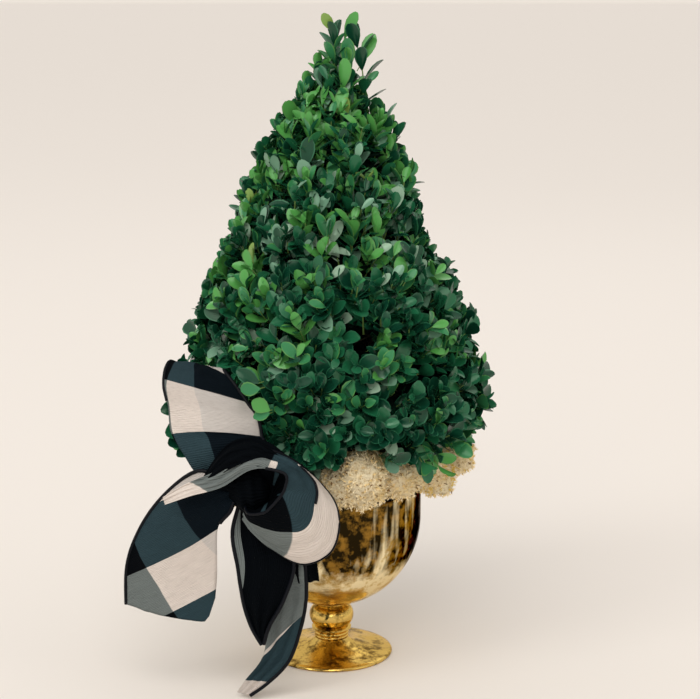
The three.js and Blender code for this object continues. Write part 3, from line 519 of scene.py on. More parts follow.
# each station: middle of the ribbon, half its chord, its belly towards walk x half, and
# the weave's u and v at its two edges; "wired" gives the shares of each edge's length
# where the wired selvedge shows, and "wireSize" how thick it is there
ribbons = {
    "loop_left": {
        "wired": ((0.42, 0.9), (0.0, 1.0)),
        "wireSize": 1.25,
        "stations": [
            ((-76, -116, 179), (10, -2, 6), 0, (40, 8, 100, 8)),
            ((-77, -114, 190), (21, -6, 11), -3, (34, 16, 125, 18)),
            ((-79, -112, 202), (30, -8, 8), -6, (28, 29, 130, 32)),
            ((-85, -104, 210), (35, -12, 1), -9, (24, 43, 130, 41)),
            ((-88, -96, 226), (35, -16, -1), -9, (24, 60, 130, 62)),
            ((-94, -88, 238), (33, -18, -3), -8, (21, 79, 130, 84)),
            ((-98, -79, 249), (28, -19, -3), -5, (16, 95, 130, 112)),
            ((-101, -68, 255), (21, -16, 0), -2, (14, 106, 130, 138)),
            ((-92, -64, 243), (20, -16, -1), -1, (14, 124, 130, 152)),
            ((-77, -75, 217), (19, -17, -1), 0, (14, 160, 130, 170)),
            ((-60, -112, 186), (7, -3, -2), 0, (40, 200, 90, 200)),
        ],
    },
    "loop_right": {
        "wired": ((0.37, 1.0), (0.22, 1.0)),
        "wireSize": 1.0,
        "stations": [
            ((-123, -123, 164), (-1, 1, 2.5), 0, (40, 56, 34, 50)),
            ((-104, -128, 174), (-2, 2, 4), 0, (34, 56, 28, 50)),
            ((-82, -132, 183), (-3, 3, 5), 0, (20, 56, 16, 46)),
            ((-60, -134, 198), (-2, 5, 6), 2, (14, 56, 10, 36)),
            ((-39, -134, 197), (3, 9, 3), 3, (31, 48, 29, 30)),
            ((-20, -132, 184), (11, 16, -7), 4, (60, 13, 60, 60)),
            ((-13, -132, 167), (19, 18, -14), 5, (33, 26, 56, 60)),
            ((-18, -132, 148), (20, 18, -24), 5, (22, 26, 46, 60)),
            ((-33, -132, 138), (14, 16, -25), 4, (14, 35, 34, 60)),
            ((-52, -129, 143), (7, 10, -16), 2, (8, 38, 22, 60)),
            ((-64, -122, 154), (-1, 5, -7), 0, (5, 40, 12, 60)),
        ],
    },
    "tail_left": {
        "wired": ((0.0, 1.0), (0.0, 0.35)),
        "wireSize": 1.35,
        "corner": (1, 0.035),  # which edge's end is rounded off, and how far back
        "stations": [
            ((-74, -123, 172), (3, -1, -8), 0, (102, 10, 98, 28)),
            ((-86, -122, 171), (12, -2, -15), 2, (89, -8, 92, 33)),
            ((-103, -112, 154), (20, -8, -11), 6, (63, -4, 81, 41)),
            ((-114, -102, 127), (29, -10, -10), 8, (38, 9, 68, 61)),
            ((-121, -97, 99), (35, -11, -6), 8, (15, 31, 56, 82)),
            ((-124, -97, 67), (34, -11, -3.5), 7, (-2, 63, 42, 106)),
        ],
    },
    "tail_middle": {
        "wired": ((0.0, 1.0), (0.0, 1.0)),
        "wireSize": 1.4,
        "stations": [
            ((-59, -113, 157), (9, 1, -1), 0, (10, 45, 25, 14)),
            ((-53, -113, 133), (20, 1, -3), 1, (10, 47, 25, 14)),
            ((-48, -117, 110), (21, 0, 0), 3, (10, 46, 25, 14)),
            ((-50, -118, 84), (15, -2, 1), 4, (10, 40, 25, 14)),
            ((-52, -117, 64), (7, -2, 2), 1, (10, 28, 25, 14)),
            ((-51, -116, 49), (0.8, 0, 0.3), 0, (10, 28, 25, 14)),
        ],
    },
    "tail_long": {
        "wired": ((0.0, 0.3), (0.0, 1.0)),
        "wireSize": 1.5,
        "stations": [
            ((-51, -112, 162), (6, -2, 0), 0, (5, 50, 24, 50)),
            ((-37, -104, 126), (15, -4, -1), 2, (5, 50, 24, 50)),
            ((-34, -101, 97), (16, -5, 0), 4, (5, 50, 26, 52)),
            ((-35, -99, 72), (16, -5, 3), 5, (8, 60, 23, 78)),
            ((-37, -99, 48), (13, -4, 5), 5, (20, 74, 38, 96)),
            ((-43, -101, 30), (11, -4, 2), 4, (31, 88, 50, 108)),
            ((-56, -103, 15), (9, -4, 1), 3, (32, 124, 50, 125)),
            ((-67, -103, 4), (5, -3, 0), 1, (30, 150, 60, 152)),
        ],
    },
}

looseFolds = {
    # the near edge of the knot's wrap: a black pleat that lies over the right loop
    "wrapFold": [
        ((-93, -126, 179), (0, 2, 4), 0, (10, 10, 22, 20)),
        ((-83, -129, 191), (-2, 3, 5), 2, (10, 12, 22, 20)),
        ((-70, -131, 202), (-3, 5, 7), 3, (10, 14, 22, 20)),
        ((-56, -131, 206), (-1, 6, 7), 3, (10, 16, 22, 20)),
        ((-44, -130, 201), (2, 6, 6), 2, (10, 18, 22, 20)),
        ((-34, -127, 194), (3, 4, 4), 1, (10, 20, 22, 20)),
    ],
    # the cut end of the ribbon, a short black flap behind the right loop
    "backFlap": [
        ((-24, -106, 124), (9, 0, 0), 0, (10, 10, 24, 10)),
        ((-21, -106, 111), (11, 0, 0), 1, (10, 18, 24, 18)),
        ((-18, -105, 95), (10, 0, 1), 1, (10, 26, 24, 26)),
    ],
}


def smoothValue(values, share):
    # a smooth line through evenly spaced values
    place = share * (len(values) - 1)
    i = min(int(place), len(values) - 2)
    t = place - i
    near = (values[max(0, min(len(values) - 1, k))] for k in range(i - 1, i + 3))
    a, b, c, d = (np.asarray(value, dtype=float) for value in near)
    return 0.5 * (2 * b + (c - a) * t + (2 * a - 5 * b + 4 * c - d) * t ** 2
                  + (3 * b - a - 3 * c + d) * t ** 3)


def ribbonGrid(stations, rows, across, corner=None):
    middles, halves, bellies, weaves = zip(*stations)
    grid = np.zeros((rows + 1, across + 1, 3))
    weave = np.zeros((rows + 1, across + 1, 2))
    sides = np.linspace(-1, 1, across + 1)
    outs = []
    for row in range(rows + 1):
        share, step = row / rows, 0.25 / rows
        middle, half = smoothValue(middles, share), smoothValue(halves, share)
        walk = smoothValue(middles, min(1, share + step)) - smoothValue(middles, max(0, share - step))
        out = np.cross(walk, half)
        out /= np.linalg.norm(out)
        outs.append(out)
        belly = float(smoothValue(bellies, share))
        grid[row] = middle + sides[:, None] * half + (belly * (1 - sides ** 2))[:, None] * out
        u0, v0, u1, v1 = smoothValue(weaves, share)
        blend = (sides + 1) / 2
        weave[row, :, 0] = u0 + (u1 - u0) * blend
        weave[row, :, 1] = v0 + (v1 - v0) * blend
    if corner:
        # the end is drawn back towards one edge, along the ribbon
        edge, back = corner
        start, width = bow["cornerStart"], bow["cornerWidth"]
        for row in range(int(rows * start), rows + 1):
            late = (row / rows - start) / (1 - start)
            for i, side in enumerate(sides):
                pull = back * late * max(0.0, (side * edge - 1 + width) / width) ** 2
                place = (row / rows - pull) * rows
                k = min(int(place), rows - 1)
                share = place - k
                for net in (grid, weave):
                    net[row, i] = net[k, i] * (1 - share) + net[min(k + 1, rows), i] * share
    return grid, weave, np.array(outs)


def layWeave(piece, threads):
    # where each vertex lies on the flat cloth: across and along, 100 mm to one
    layer = piece.data.uv_layers.active or piece.data.uv_layers.new()
    layer.name = "weave"
    flat = np.asarray(threads) * 0.01
    for loop in piece.data.loops:
        layer.data[loop.index].uv = flat[loop.vertex_index]


def ribbonPiece(name, stations, seed, corner=None):
    rows = (len(stations) - 1) * bow["rowsPerStation"]
    across = bow["across"]
    grid, weave, outs = ribbonGrid(stations, rows, across, corner)
    sides = np.linspace(-1, 1, across + 1)
    halfWidths = np.linalg.norm(grid[:, -1] - grid[:, 0], axis=1) / 2
    steps = np.linalg.norm(np.diff(grid[:, across // 2], axis=0), axis=1)
    lengths = np.concatenate([[0], np.cumsum(steps)])
    # gathers where the ribbon is drawn together, soft creases elsewhere
    for row in range(rows + 1):
        spare = max(0.0, 1 - halfWidths[row] / 34)
        gather = min(2.4 * spare ** 1.3, 0.12 * halfWidths[row])
        for i, side in enumerate(sides):
            fold = math.sin(side * 8.5 + seed + lengths[row] * 0.02) * gather
            crease = noise.noise(Vector((side * 2.3 + seed, lengths[row] * 0.04, seed * 1.7))) * 1.7
            small = noise.noise(Vector((side * 5.3 + seed, lengths[row] * 0.13, seed * 2.9))) * 0.9
            fade = 1 - abs(side) ** 4 * 0.5
            grid[row, i] += outs[row] * (fold + (crease + small) * fade * (1 - spare * 0.6))
    net = sheetFaces(rows, across)
    piece = meshPiece("ribbon_" + name, grid.reshape(-1, 3) * mm, net, [ribbonCloth])
    layWeave(piece, weave.reshape(-1, 2))
    applyModifier(piece, "SOLIDIFY", thickness=bow["thickness"] * mm, offset=0)
    return piece, grid


def edgeWire(name, path, size=1.0):
    # a thin round wire under satin, along one edge of a ribbon
    sides = 6
    radius = bow["wireRadius"] * size
    places = []
    for k, point in enumerate(path):
        walk = Vector(path[min(len(path) - 1, k + 1)]) - Vector(path[max(0, k - 1)])
        turn = walk.to_track_quat("Z", "X")
        for side in range(sides):
            a = 2 * math.pi * side / sides
            places.append((Vector(point) + turn @ Vector((math.cos(a), math.sin(a), 0)) * radius) * mm)
    return meshPiece(name, places, tubeFaces(len(path), sides), [satinEdge])


def checkedRibbon(b):
    # Plain-woven cotton blend in a buffalo check: where warp and weft differ the two
    # colours mix to slate or grey. Quite matt, with a fine thread line and small wrinkles.
    material, tree, shader = newMaterial("wovenCheckRibbon", {
        "Roughness": 0.85,
        "Specular IOR Level": 0.045,
    })
    uv = addNode(tree, "ShaderNodeUVMap", {"uv_map": "weave"}).outputs[0]
    parts = addNode(tree, "ShaderNodeSeparateXYZ", None, {0: uv})
    past = []
    for line in b["warpEdges"]:
        past.append(addNode(tree, "ShaderNodeMapRange", None, {
            0: parts.outputs[0], 1: line * 0.01 - 0.003, 2: line * 0.01 + 0.003}).outputs[0])
    repeats = addNode(tree, "ShaderNodeMath", {"operation": "DIVIDE"}, {
        0: parts.outputs[1], 1: 2 * b["check"] * 0.01}).outputs[0]
    turn = addNode(tree, "ShaderNodeMath", {"operation": "FRACT"}, {0: repeats}).outputs[0]
    weft = addNode(tree, "ShaderNodeMath", {"operation": "GREATER_THAN"}, {0: turn, 1: 0.5}).outputs[0]
    rows = []
    for row in ("darkRow", "lightRow"):
        one, two, three = (linearColour(colour) for colour in b[row])
        firstTwo = addNode(tree, "ShaderNodeMix", ofColours, {0: past[0], 6: one, 7: two}).outputs[2]
        rows.append(addNode(tree, "ShaderNodeMix", ofColours, {0: past[1], 6: firstTwo, 7: three}).outputs[2])
    cloth = addNode(tree, "ShaderNodeMix", ofColours, {0: weft, 6: rows[0], 7: rows[1]}).outputs[2]

    # threads, drawn coarser than their half millimetre so that they show
    threads = addNode(tree, "ShaderNodeTexWave", {"bands_direction": "Y"}, {
        "Vector": uv, "Scale": 26.0, "Distortion": 1.5, "Detail": 2.0, "Detail Scale": 3.0}).outputs[1]
    drawn = addNode(tree, "ShaderNodeMapping", None, {"Vector": uv, "Scale": (6, 90, 1)}).outputs[0]
    slub = addNode(tree, "ShaderNodeTexNoise", None,
                   {"Vector": drawn, "Scale": 2.0, "Detail": 3.0}).outputs[0]
    shade = addNode(tree, "ShaderNodeMapRange", None,
                    {0: slub, 1: 0.2, 2: 0.8, 3: 0.84, 4: 1.1}).outputs[0]
    tinted = addNode(tree, "ShaderNodeVectorMath", {"operation": "SCALE"}, {0: cloth, 3: shade}).outputs[0]
    tree.links.new(tinted, shader.inputs["Base Color"])
    wrinkled = addNode(tree, "ShaderNodeMapping", None, {
        "Vector": uv, "Rotation": (0, 0, 0.5), "Scale": (3, 11, 1)}).outputs[0]
    wrinkles = addNode(tree, "ShaderNodeTexNoise", None,
                       {"Vector": wrinkled, "Scale": 1.0, "Detail": 3.0}).outputs[0]
    folds = addNode(tree, "ShaderNodeMath", times, {0: wrinkles, 1: 5.0}).outputs[0]
    weave = addNode(tree, "ShaderNodeMath", plus, {0: threads, 1: slub}).outputs[0]
    height = addNode(tree, "ShaderNodeMath", plus, {0: folds, 1: weave}).outputs[0]
    bump = addNode(tree, "ShaderNodeBump", None, {"Strength": 0.75, "Distance": 0.0006, "Height": height})
    tree.links.new(bump.outputs[0], shader.inputs["Normal"])
    return material


ribbonCloth = checkedRibbon(bow)

# The wired edge: close black satin over the wire, almost without shine
satinEdge, tree, shader = newMaterial("blackSatinEdge", {
    "Base Color": linearColour(bow["edge"]), "Roughness": 0.5, "Specular IOR Level": 0.15})

ribbonPoints = []
grids = {}
for order, (name, ribbon) in enumerate(ribbons.items()):
    piece, grid = ribbonPiece(name, ribbon["stations"], order * 2.7 + 1, ribbon.get("corner"))
    grids[name] = grid
    standFor(piece, "ribbon", "bow_" + name)
    for edgeName, column, ends in zip("AB", (0, -1), ribbon["wired"]):
        first, last = (round(share * (len(grid) - 1)) for share in ends)
        wire = edgeWire("wire_%s_%s" % (name, edgeName), grid[first:last + 1, column], ribbon["wireSize"])
        standFor(wire, "ribbon")
    ribbonPoints += [tuple(p) for p in grid[::2, ::2].reshape(-1, 3)]


def makeKnot():
    # the cinched wrap, an oval with folds round it
    bpy.ops.object.select_all(action="DESELECT")
    bpy.ops.mesh.primitive_uv_sphere_add(segments=72, ring_count=48, radius=1, location=(0, 0, 0))
    piece = bpy.context.object
    piece.name = "bowKnot"
    middle, size = Vector(bow["knot"]), bow["knotSize"]
    threads = []
    for vertex in piece.data.vertices:
        x, y, z = vertex.co
        turn = math.atan2(z, y)
        fold = 0.07 * math.sin(11 * x + 1.8 * math.sin(turn)) - 0.05
        fold += 0.04 * noise.noise(Vector((x * 3, y * 3, z * 3)))
        k = 1 + fold * (1 - x * x)
        reach = Vector((size[0] * x * 0.97, size[1] * y * k, size[2] * z * k))
        vertex.co = middle + reach
        threads.append((18 + reach.x * 0.5, 20 + math.atan2(reach.z, -reach.y) * 5))
    layWeave(piece, threads)
    piece.data.shade_smooth()
    piece.data.transform(Matrix.Scale(mm, 4))
    piece.data.materials.append(ribbonCloth)
    return piece


def makeKnotFold():
    # a gathered fold that leads off the knot
    start, end = Vector(bow["knot"]), Vector(bow["knotFold"])
    wide, thin = bow["knotFoldRadii"]
    rings, sides = 24, 48
    turn = (end - start).to_track_quat("Z", "Y")
    places, threads = [], []
    for ring in range(rings + 1):
        share = ring / rings
        middle = start.lerp(end, share) + Vector((0, 0, 3 * math.sin(share * math.pi)))
        radius = 0.92 * (wide + (thin - wide) * share) * (1 - 0.5 * max(0, share - 0.9) / 0.1)
        for side in range(sides):
            a = 2 * math.pi * side / sides
            pleat = 1 + 0.13 * math.sin(7 * a + 2.5 * share) + 0.05 * math.sin(15 * a - 4 * share)
            places.append((middle + turn @ Vector((math.cos(a), math.sin(a), 0)) * radius * pleat) * mm)
            threads.append((16 + 8 * math.sin(a), 10 + 20 * share))
    piece = meshPiece("bowKnotFold", places, tubeFaces(rings + 1, sides), [ribbonCloth])
    layWeave(piece, threads)
    return piece


def makeThroat(grid):
    # the loop's inside, gathered back to the knot in pleats, a few of them slate; the rest lies in the
    # check's black as painted shade inside the loop
    middle = Vector(bow["throat"])
    rows = range(round(len(grid) * bow["throatStart"]), len(grid))
    across = 10
    places, threads = [], []
    for order, row in enumerate(rows):
        edge = Vector(grid[row, 0].tolist()).lerp(Vector(grid[row, -1].tolist()), 0.12)
        for i in range(across + 1):
            share = i / across
            pleat = math.sin(order * 0.9) * 1.6 * share * (1 - share * 0.6)
            inward = Vector((0, 9 * math.sin(share * math.pi) + pleat, 0))
            places.append((edge.lerp(middle, share) + inward) * mm)
            slate = 2 <= i <= 6 and (order // 3) % 7 == 3
            # black cells elsewhere: painted shade inside the loop
            threads.append((40 if slate else 10, 10))
    piece = meshPiece("bowThroat", places, sheetFaces(len(rows) - 1, across), [ribbonCloth])
    layWeave(piece, threads)
    applyModifier(piece, "SOLIDIFY", thickness=bow["thickness"] * mm, offset=0)
    return piece


def makeShadeFolds():
    # the folds deep inside the right loop, all in the check's black: painted shade inside the loop
    bpy.ops.object.select_all(action="DESELECT")
    bpy.ops.mesh.primitive_uv_sphere_add(segments=64, ring_count=32, radius=1, location=(0, 0, 0))
    piece = bpy.context.object
    piece.name = "bowShadeFolds"
    middle, size = Vector(bow["shadeFolds"]), bow["shadeFoldsSize"]
    for vertex in piece.data.vertices:
        x, y, z = vertex.co
        k = 1 + 0.09 * math.sin(9 * math.atan2(z, x) + 5 * y) * (1 - y * y)
        vertex.co = middle + Vector((size[0] * x * k, size[1] * y, size[2] * z * k))
    # one black cell all over: painted shade
    layWeave(piece, [(12, 10)] * len(piece.data.vertices))
    piece.data.shade_smooth()
    piece.data.transform(Matrix.Scale(mm, 4))
    piece.data.materials.append(ribbonCloth)
    return piece


def seamPath(grid, across):
    # the line where the right loop's near layer ends, a little proud of the cloth
    path = []
    for row in range(bow["seam"][0][0], bow["seam"][-1][0]):
        column = between(bow["seam"], row) * across
        k = int(column)
        point = grid[row, k] * (1 - column + k) + grid[row, k + 1] * (column - k)
        path.append(point + np.array([0.2, -0.9, 0.2]))
    return path


standFor(makeKnot(), "ribbon", "bow_knot")
standFor(makeKnotFold(), "ribbon")
standFor(makeThroat(grids["loop_right"]), "ribbon")
standFor(makeShadeFolds(), "ribbon")
for name, stations in looseFolds.items():
    standFor(ribbonPiece(name, stations, 17.3)[0], "ribbon")
standFor(edgeWire("loopSeam", seamPath(grids["loop_right"], bow["across"])), "ribbon")
print("bow tied")


# Moss collar

moss = {
    "seed": 16,
    "clumps": 15,
    "ring": 77.0,
    "clumpSize": 21.0,
    "level": 158.0,
    "tilt": 8.0,
    "highSide": math.radians(-40),
    "heaps": [((24, -88, 176), 20), ((8, -82, 166), 19),  # two at the front
              ((99, -4, 169), 18), ((84, -29, 157), 16)],  # and two out to the right
    "voxel": 1.6,
    "tufts": 6500,
    "cream": "#fff1ce",
    "beige": "#f6dda4",
    "shade": "#cbaa6e",
    "yellow": "#e6c860",
    "umber": "#8c6e42",
}


def seeded(seed):
    # the source's own small random generator, so that both deal the same numbers
    state = [seed]

    def mul(a, b):
        return (a * b) & 0xFFFFFFFF

    def roll():
        state[0] = (state[0] + 0x6D2B79F5) & 0xFFFFFFFF
        mixed = mul(state[0] ^ (state[0] >> 15), 1 | state[0])
        mixed = ((mixed + mul(mixed ^ (mixed >> 7), 61 | mixed)) & 0xFFFFFFFF) ^ mixed
        return (mixed ^ (mixed >> 14)) / 4294967296

    return roll


def mossClumps():
    roll = seeded(moss["seed"])

    def span(low, high):
        return low + (high - low) * roll()

    clumps = []
    for i in range(moss["clumps"]):
        turn = i / moss["clumps"] * 2 * math.pi
        ring = moss["ring"] + span(-3, 5)
        height = moss["level"] + moss["tilt"] * math.cos(turn - moss["highSide"]) + span(-3, 3)
        size = moss["clumpSize"] * span(0.88, 1.08)
        clumps.append((Vector((ring * math.cos(turn), ring * math.sin(turn), height)), size))
    return clumps + [(Vector(place), size) for place, size in moss["heaps"]]


clumps = mossClumps()


def makeMoss():
    bpy.ops.object.select_all(action="DESELECT")
    lumps = []
    for middle, size in clumps:
        bpy.ops.mesh.primitive_ico_sphere_add(subdivisions=4, radius=(size - 1.5) * mm, location=middle * mm)
        lumps.append(bpy.context.object)
    bpy.ops.object.select_all(action="DESELECT")
    for lump in lumps:
        lump.select_set(True)
    bpy.context.view_layer.objects.active = lumps[0]
    bpy.ops.object.join()
    piece = bpy.context.object
    piece.name = "mossCollar"
    bpy.ops.object.transform_apply(location=True, rotation=True, scale=True)
    applyModifier(piece, "REMESH", mode="VOXEL", voxel_size=moss["voxel"] * mm)
    mesh = piece.data
    count = len(mesh.vertices)
    places = np.empty(count * 3)
    mesh.vertices.foreach_get("co", places)
    normals = np.empty(count * 3)
    mesh.vertices.foreach_get("normal", normals)
    places, normals = places.reshape(-1, 3) / mm, normals.reshape(-1, 3)
    for i in range(count):
        p = Vector(places[i])
        coarse = noise.noise(p * 0.09)
        medium = noise.noise(p * 0.24 + Vector((7, 1, 3)))
        fine = noise.noise(p * 0.62 + Vector((2, 9, 5)))
        places[i] += normals[i] * (2.6 * coarse + 2.0 * medium + 1.3 * fine)
    # kept off the goblet's wall and the soil
    radius = np.hypot(places[:, 0], places[:, 1])
    inWall = (radius > 62) & (radius < 73.6) & (places[:, 2] < 144.6)
    push = np.where(inWall, 73.6 / np.maximum(radius, 1), 1.0)
    places[:, 0] *= push
    places[:, 1] *= push
    inside = radius <= 62
    places[inside, 2] = np.maximum(places[inside, 2], 135.6)
    mesh.vertices.foreach_set("co", (places * mm).ravel())
    mesh.polygons.foreach_set("use_smooth", np.ones(len(mesh.polygons), dtype=bool))
    mesh.update()
    return piece


def mossTufts(collar, tuftMaterials):
    # fine forked branches, a few millimetres long, all over the outside of the collar
    roll = random.Random(71)
    mesh = collar.data
    faces = [p for p in mesh.polygons if math.hypot(p.center.x, p.center.y) > 0.052 or p.center.z > 0.16]
    areas = np.cumsum([p.area for p in faces])
    places, triangles, kinds = [], [], []

    def spike(start, way, length, thick):
        side = way.orthogonal().normalized()
        base = len(places)
        for k in range(3):
            turn = Matrix.Rotation(2 * math.pi * k / 3, 3, way) @ side
            places.append(start + turn * thick)
        places.append(start + way * length)
        return [(base, base + 1, base + 3), (base + 1, base + 2, base + 3), (base + 2, base, base + 3)]

    for index in range(moss["tufts"]):
        pick = faces[int(np.searchsorted(areas, roll.random() * areas[-1]))]
        start = Vector(pick.center) / mm
        spread = Vector((roll.gauss(0, 0.45), roll.gauss(0, 0.45), roll.gauss(0, 0.45)))
        way = (Vector(pick.normal) + spread).normalized()
        length = roll.uniform(1.8, 3.6)
        chance = roll.random()
        kind = 0 if chance < 0.6 else 1 if chance < 0.93 else 3
        if start.x > 70 and roll.random() < 0.35:
            kind = 2
        made = spike(start - way * 0.6, way, length + 1.2, 0.55)
        tip = start + way * length * 0.55
        for branch in range(4):
            lean = (way + Vector((roll.gauss(0, 0.8), roll.gauss(0, 0.8), roll.gauss(0, 0.8)))).normalized()
            made += spike(tip, lean, roll.uniform(1.4, 2.6), 0.42)
        triangles += made
        kinds += [kind] * len(made)
    return meshPiece("mossTufts", [p * mm for p in places], triangles, tuftMaterials, kinds, smooth=False)


# Reindeer moss, dried and preserved: pale, dry, springy and quite matt
mossBody, tree, shader = newMaterial("reindeerMoss", {"Roughness": 1.0, "Specular IOR Level": 0.1})
place = addNode(tree, "ShaderNodeTexCoord").outputs["Object"]
flecks = addNode(tree, "ShaderNodeTexNoise", None,
                 {"Vector": place, "Scale": 420.0, "Detail": 5.0, "Roughness": 0.7}).outputs[0]
patches = addNode(tree, "ShaderNodeTexNoise", None,
                  {"Vector": place, "Scale": 45.0, "Detail": 2.0}).outputs[0]
# darker flecks where the noise is low: painted shade of the moss's deep holes
deep = addNode(tree, "ShaderNodeMapRange", None, {0: flecks, 1: 0.36, 2: 0.5}).outputs[0]
warm = addNode(tree, "ShaderNodeMapRange", None, {0: patches, 1: 0.45, 2: 0.65}).outputs[0]
pale = addNode(tree, "ShaderNodeMix", ofColours, {
    0: warm, 6: linearColour(moss["cream"]), 7: linearColour(moss["beige"])}).outputs[2]
lichen = addNode(tree, "ShaderNodeMix", ofColours, {
    0: deep, 6: linearColour(moss["shade"]), 7: pale}).outputs[2]
tree.links.new(lichen, shader.inputs["Base Color"])
bump = addNode(tree, "ShaderNodeBump", None, {"Strength": 1.0, "Distance": 0.003, "Height": flecks})
tree.links.new(bump.outputs[0], shader.inputs["Normal"])

tuftMaterials = []
for label in ("cream", "beige", "yellow", "umber"):
    material, tree, shader = newMaterial("reindeerMoss" + label.capitalize(), {
        "Base Color": linearColour(moss[label]), "Roughness": 1.0, "Specular IOR Level": 0.1})
    tuftMaterials.append(material)

mossPiece = makeMoss()
mossPiece.data.materials.append(mossBody)
standFor(mossPiece, "moss", *nodesNamed("moss_"))
tuftPiece = mossTufts(mossPiece, tuftMaterials)
standFor(tuftPiece, "moss")
print("moss laid:", len(mossPiece.data.polygons), "and", len(tuftPiece.data.polygons), "faces")


# Crown: leafy sprays by the source's rule, finer and open to the light

crown = {
    "seed": 11,
    "outline": [(165, 92), (184, 117), (210, 126), (240, 123), (260, 117), (300, 104), (350, 82),
                (400, 61), (436, 47), (452, 35), (464, 21), (490, 14), (520, 6)],
    "dents": [((80, 0, 343), 17, 17), ((104, 0, 311), 16, -5),  # where, how wide, how deep
              ((-106, 0, 294), 17, 10), ((-82, 0, 382), 14, -7)],
    "lumps": 3.5,
    "foot": 171.0,
    "top": 446.0,
    "rise": [(165, -28), (190, 0), (230, 20), (270, 38), (310, 54), (350, 64), (400, 71), (450, 78)],
    "tiers": [("skirt", 171, 228), ("lower", 228, 288), ("middle", 288, 348), ("upper", 348, 404),
              ("spire", 404, 460)],
    "sprays": 1010,
    "shell": 38.0,
    "leafLength": [(165, 18.0), (260, 19.2), (380, 21.5), (450, 22.0)],
    "leafRatio": [(165, 0.66), (250, 0.61), (330, 0.54), (450, 0.48)],
    "pairGap": 7.8,
    "boughs": 64,
    "heartLeaves": 700,
    "notch": (31, 4, 437),  # a gap left open beside the tip: where, half its width, from what height
    "hem": (26, 20, 32),  # where the front hem is lifted, how wide, how much
    "front": -40,  # nearer than this a leaf may meet the bow or the hem
    "highest": 521.5,
    "mossTop": 200,
    "bowTop": 275,
    "knotRoom": 19,
    "upperFrom": 320,  # above this more leaves facing the light are painted pale as sheen
}

leafKinds = {  # boxwood leaf colours, from old inner leaves painted near black as shade to new tips, with two pale kinds painted as sheen
    # near black: painted shade deep inside the crown
    "InnerShade": "#0a1c16",
    "Deep": "#0d3e2c",
    "Mid": "#1c5f3f",
    "Fresh": "#367f50",
    "Bright": "#539c4d",
    # two pale kinds for leaves that face the light: painted sheen
    "PaintedSheen": "#719b82",
    "PaintedGlare": "#93b19a",
    "Young": "#81a150",
    # paler margin strips: partly the margin's own tone, partly a painted highlight along the leaf's edge
    "DarkMargin": "#2c674a",
    "LightMargin": "#5c9451",
}


def leafMaterial(kind, colour):
    # Boxwood leaf: leathery with a waxy upper face, so dark green under a broad soft gloss that stays
    # greenish; the thin horny margin is painted paler, partly its own tone and partly a painted highlight
    # along the edge
    # the inner kind, painted shade, keeps almost no gloss
    inner = kind == "InnerShade"
    material, tree, shader = newMaterial("boxwoodLeaf" + kind, {
        "Base Color": linearColour(colour),
        "Roughness": 0.6 if inner else 0.25,
        "Specular IOR Level": 0.1 if inner else 0.7,
        "Specular Tint": linearColour("#a8d0b0"),
        "Coat Weight": 0.0 if inner else 0.2,
        "Coat Roughness": 0.13,
    })
    return material


leafMaterials = [leafMaterial(kind, colour) for kind, colour in leafKinds.items()]
kindIndex = {kind: i for i, kind in enumerate(leafKinds)}
marginOf = {"InnerShade": "InnerShade", "Deep": "DarkMargin", "Mid": "DarkMargin", "Fresh": "LightMargin",
            "Bright": "LightMargin", "Young": "Young", "PaintedSheen": "PaintedSheen", "PaintedGlare": "PaintedGlare"}


def twigMaterial(name, colour):
    # smooth green bark on this year's shoots, dull brown on the older wood
    material, tree, shader = newMaterial(name, {"Base Color": linearColour(colour), "Roughness": 0.65})
    return material


twigMaterials = [twigMaterial("boxwoodShoot", "#6d8c46"), twigMaterial("boxwoodBranch", "#45402a")]


def crownReach(point):
    # the clipped outline at this height, with soft lumps round it
    turn = math.atan2(point.y, point.x)
    lump = noise.noise(Vector((2.2 * math.cos(turn), 2.2 * math.sin(turn), point.z * 0.035)))
    reach = between(crown["outline"], point.z) + crown["lumps"] * 2 * lump
    for place, size, depth in crown["dents"]:
        reach -= depth * math.exp(-((point - Vector(place)).length / size) ** 2)
    return reach


def crownSpread(point):
    return math.hypot(point.x - 1, point.y)


def hemHeight(point):
    # the lowest a leaf may hang: the hem is lifted at the front, over the moss
    place, half, lift = crown["hem"]
    if point.y > crown["front"]:
        return 150
    return 170 + lift * math.exp(-((point.x - place) / half) ** 2)


leafStations = [  # along the leaf, half its width: narrow foot, widest past the middle, round tip
    (0.0, 0.05), (0.16, 0.21), (0.38, 0.41), (0.6, 0.5), (0.81, 0.43), (0.94, 0.25), (1.0, 0.1)]
marginShare = 0.84


def leafShapes(leaves):
    # each leaf as seven rows of five points: cupped across, bowed along, with its margin
    count = len(leaves["root"])
    root, way, up = (np.array(leaves[key]) for key in ("root", "way", "up"))
    across = np.cross(way, up)
    across /= np.linalg.norm(across, axis=1)[:, None]
    length, width, cup, bend = (np.array(leaves[key])[:, None] for key in ("length", "width", "cup", "bend"))
    rows = []
    for along, half in leafStations:
        lift = bend * length * along ** 2
        for side in (-1, -marginShare, 0, marginShare, 1):
            reach = along if side or along < 1 else 0.99
            height = lift + cup * width * (half / 0.5) * abs(side) ** 1.15
            rows.append(root + way * length * reach + across * (width * half * side) + up * height)
    places = np.stack(rows, axis=1)
    quads, onMargin = [], []
    for row in range(len(leafStations) - 1):
        for strip in range(4):
            a = row * 5 + strip
            quads.append((a, a + 1, a + 6, a + 5))
            onMargin.append(strip in (0, 3) and row > 0)
    quads, onMargin = np.array(quads), np.array(onMargin)
    faces = (quads[None] + (np.arange(count) * places.shape[1])[:, None, None]).reshape(-1, 4)
    kinds = np.where(onMargin[None], np.array(leaves["margin"])[:, None], np.array(leaves["kind"])[:, None])
    return places.reshape(-1, 3), faces, kinds.ravel()


def pointTree(points):
    tree = kdtree.KDTree(len(points))
    for i, point in enumerate(points):
        tree.insert(point, i)
    tree.balance()
    return tree


ribbonTree = pointTree(ribbonPoints)
knotMiddle = Vector(bow["knot"])


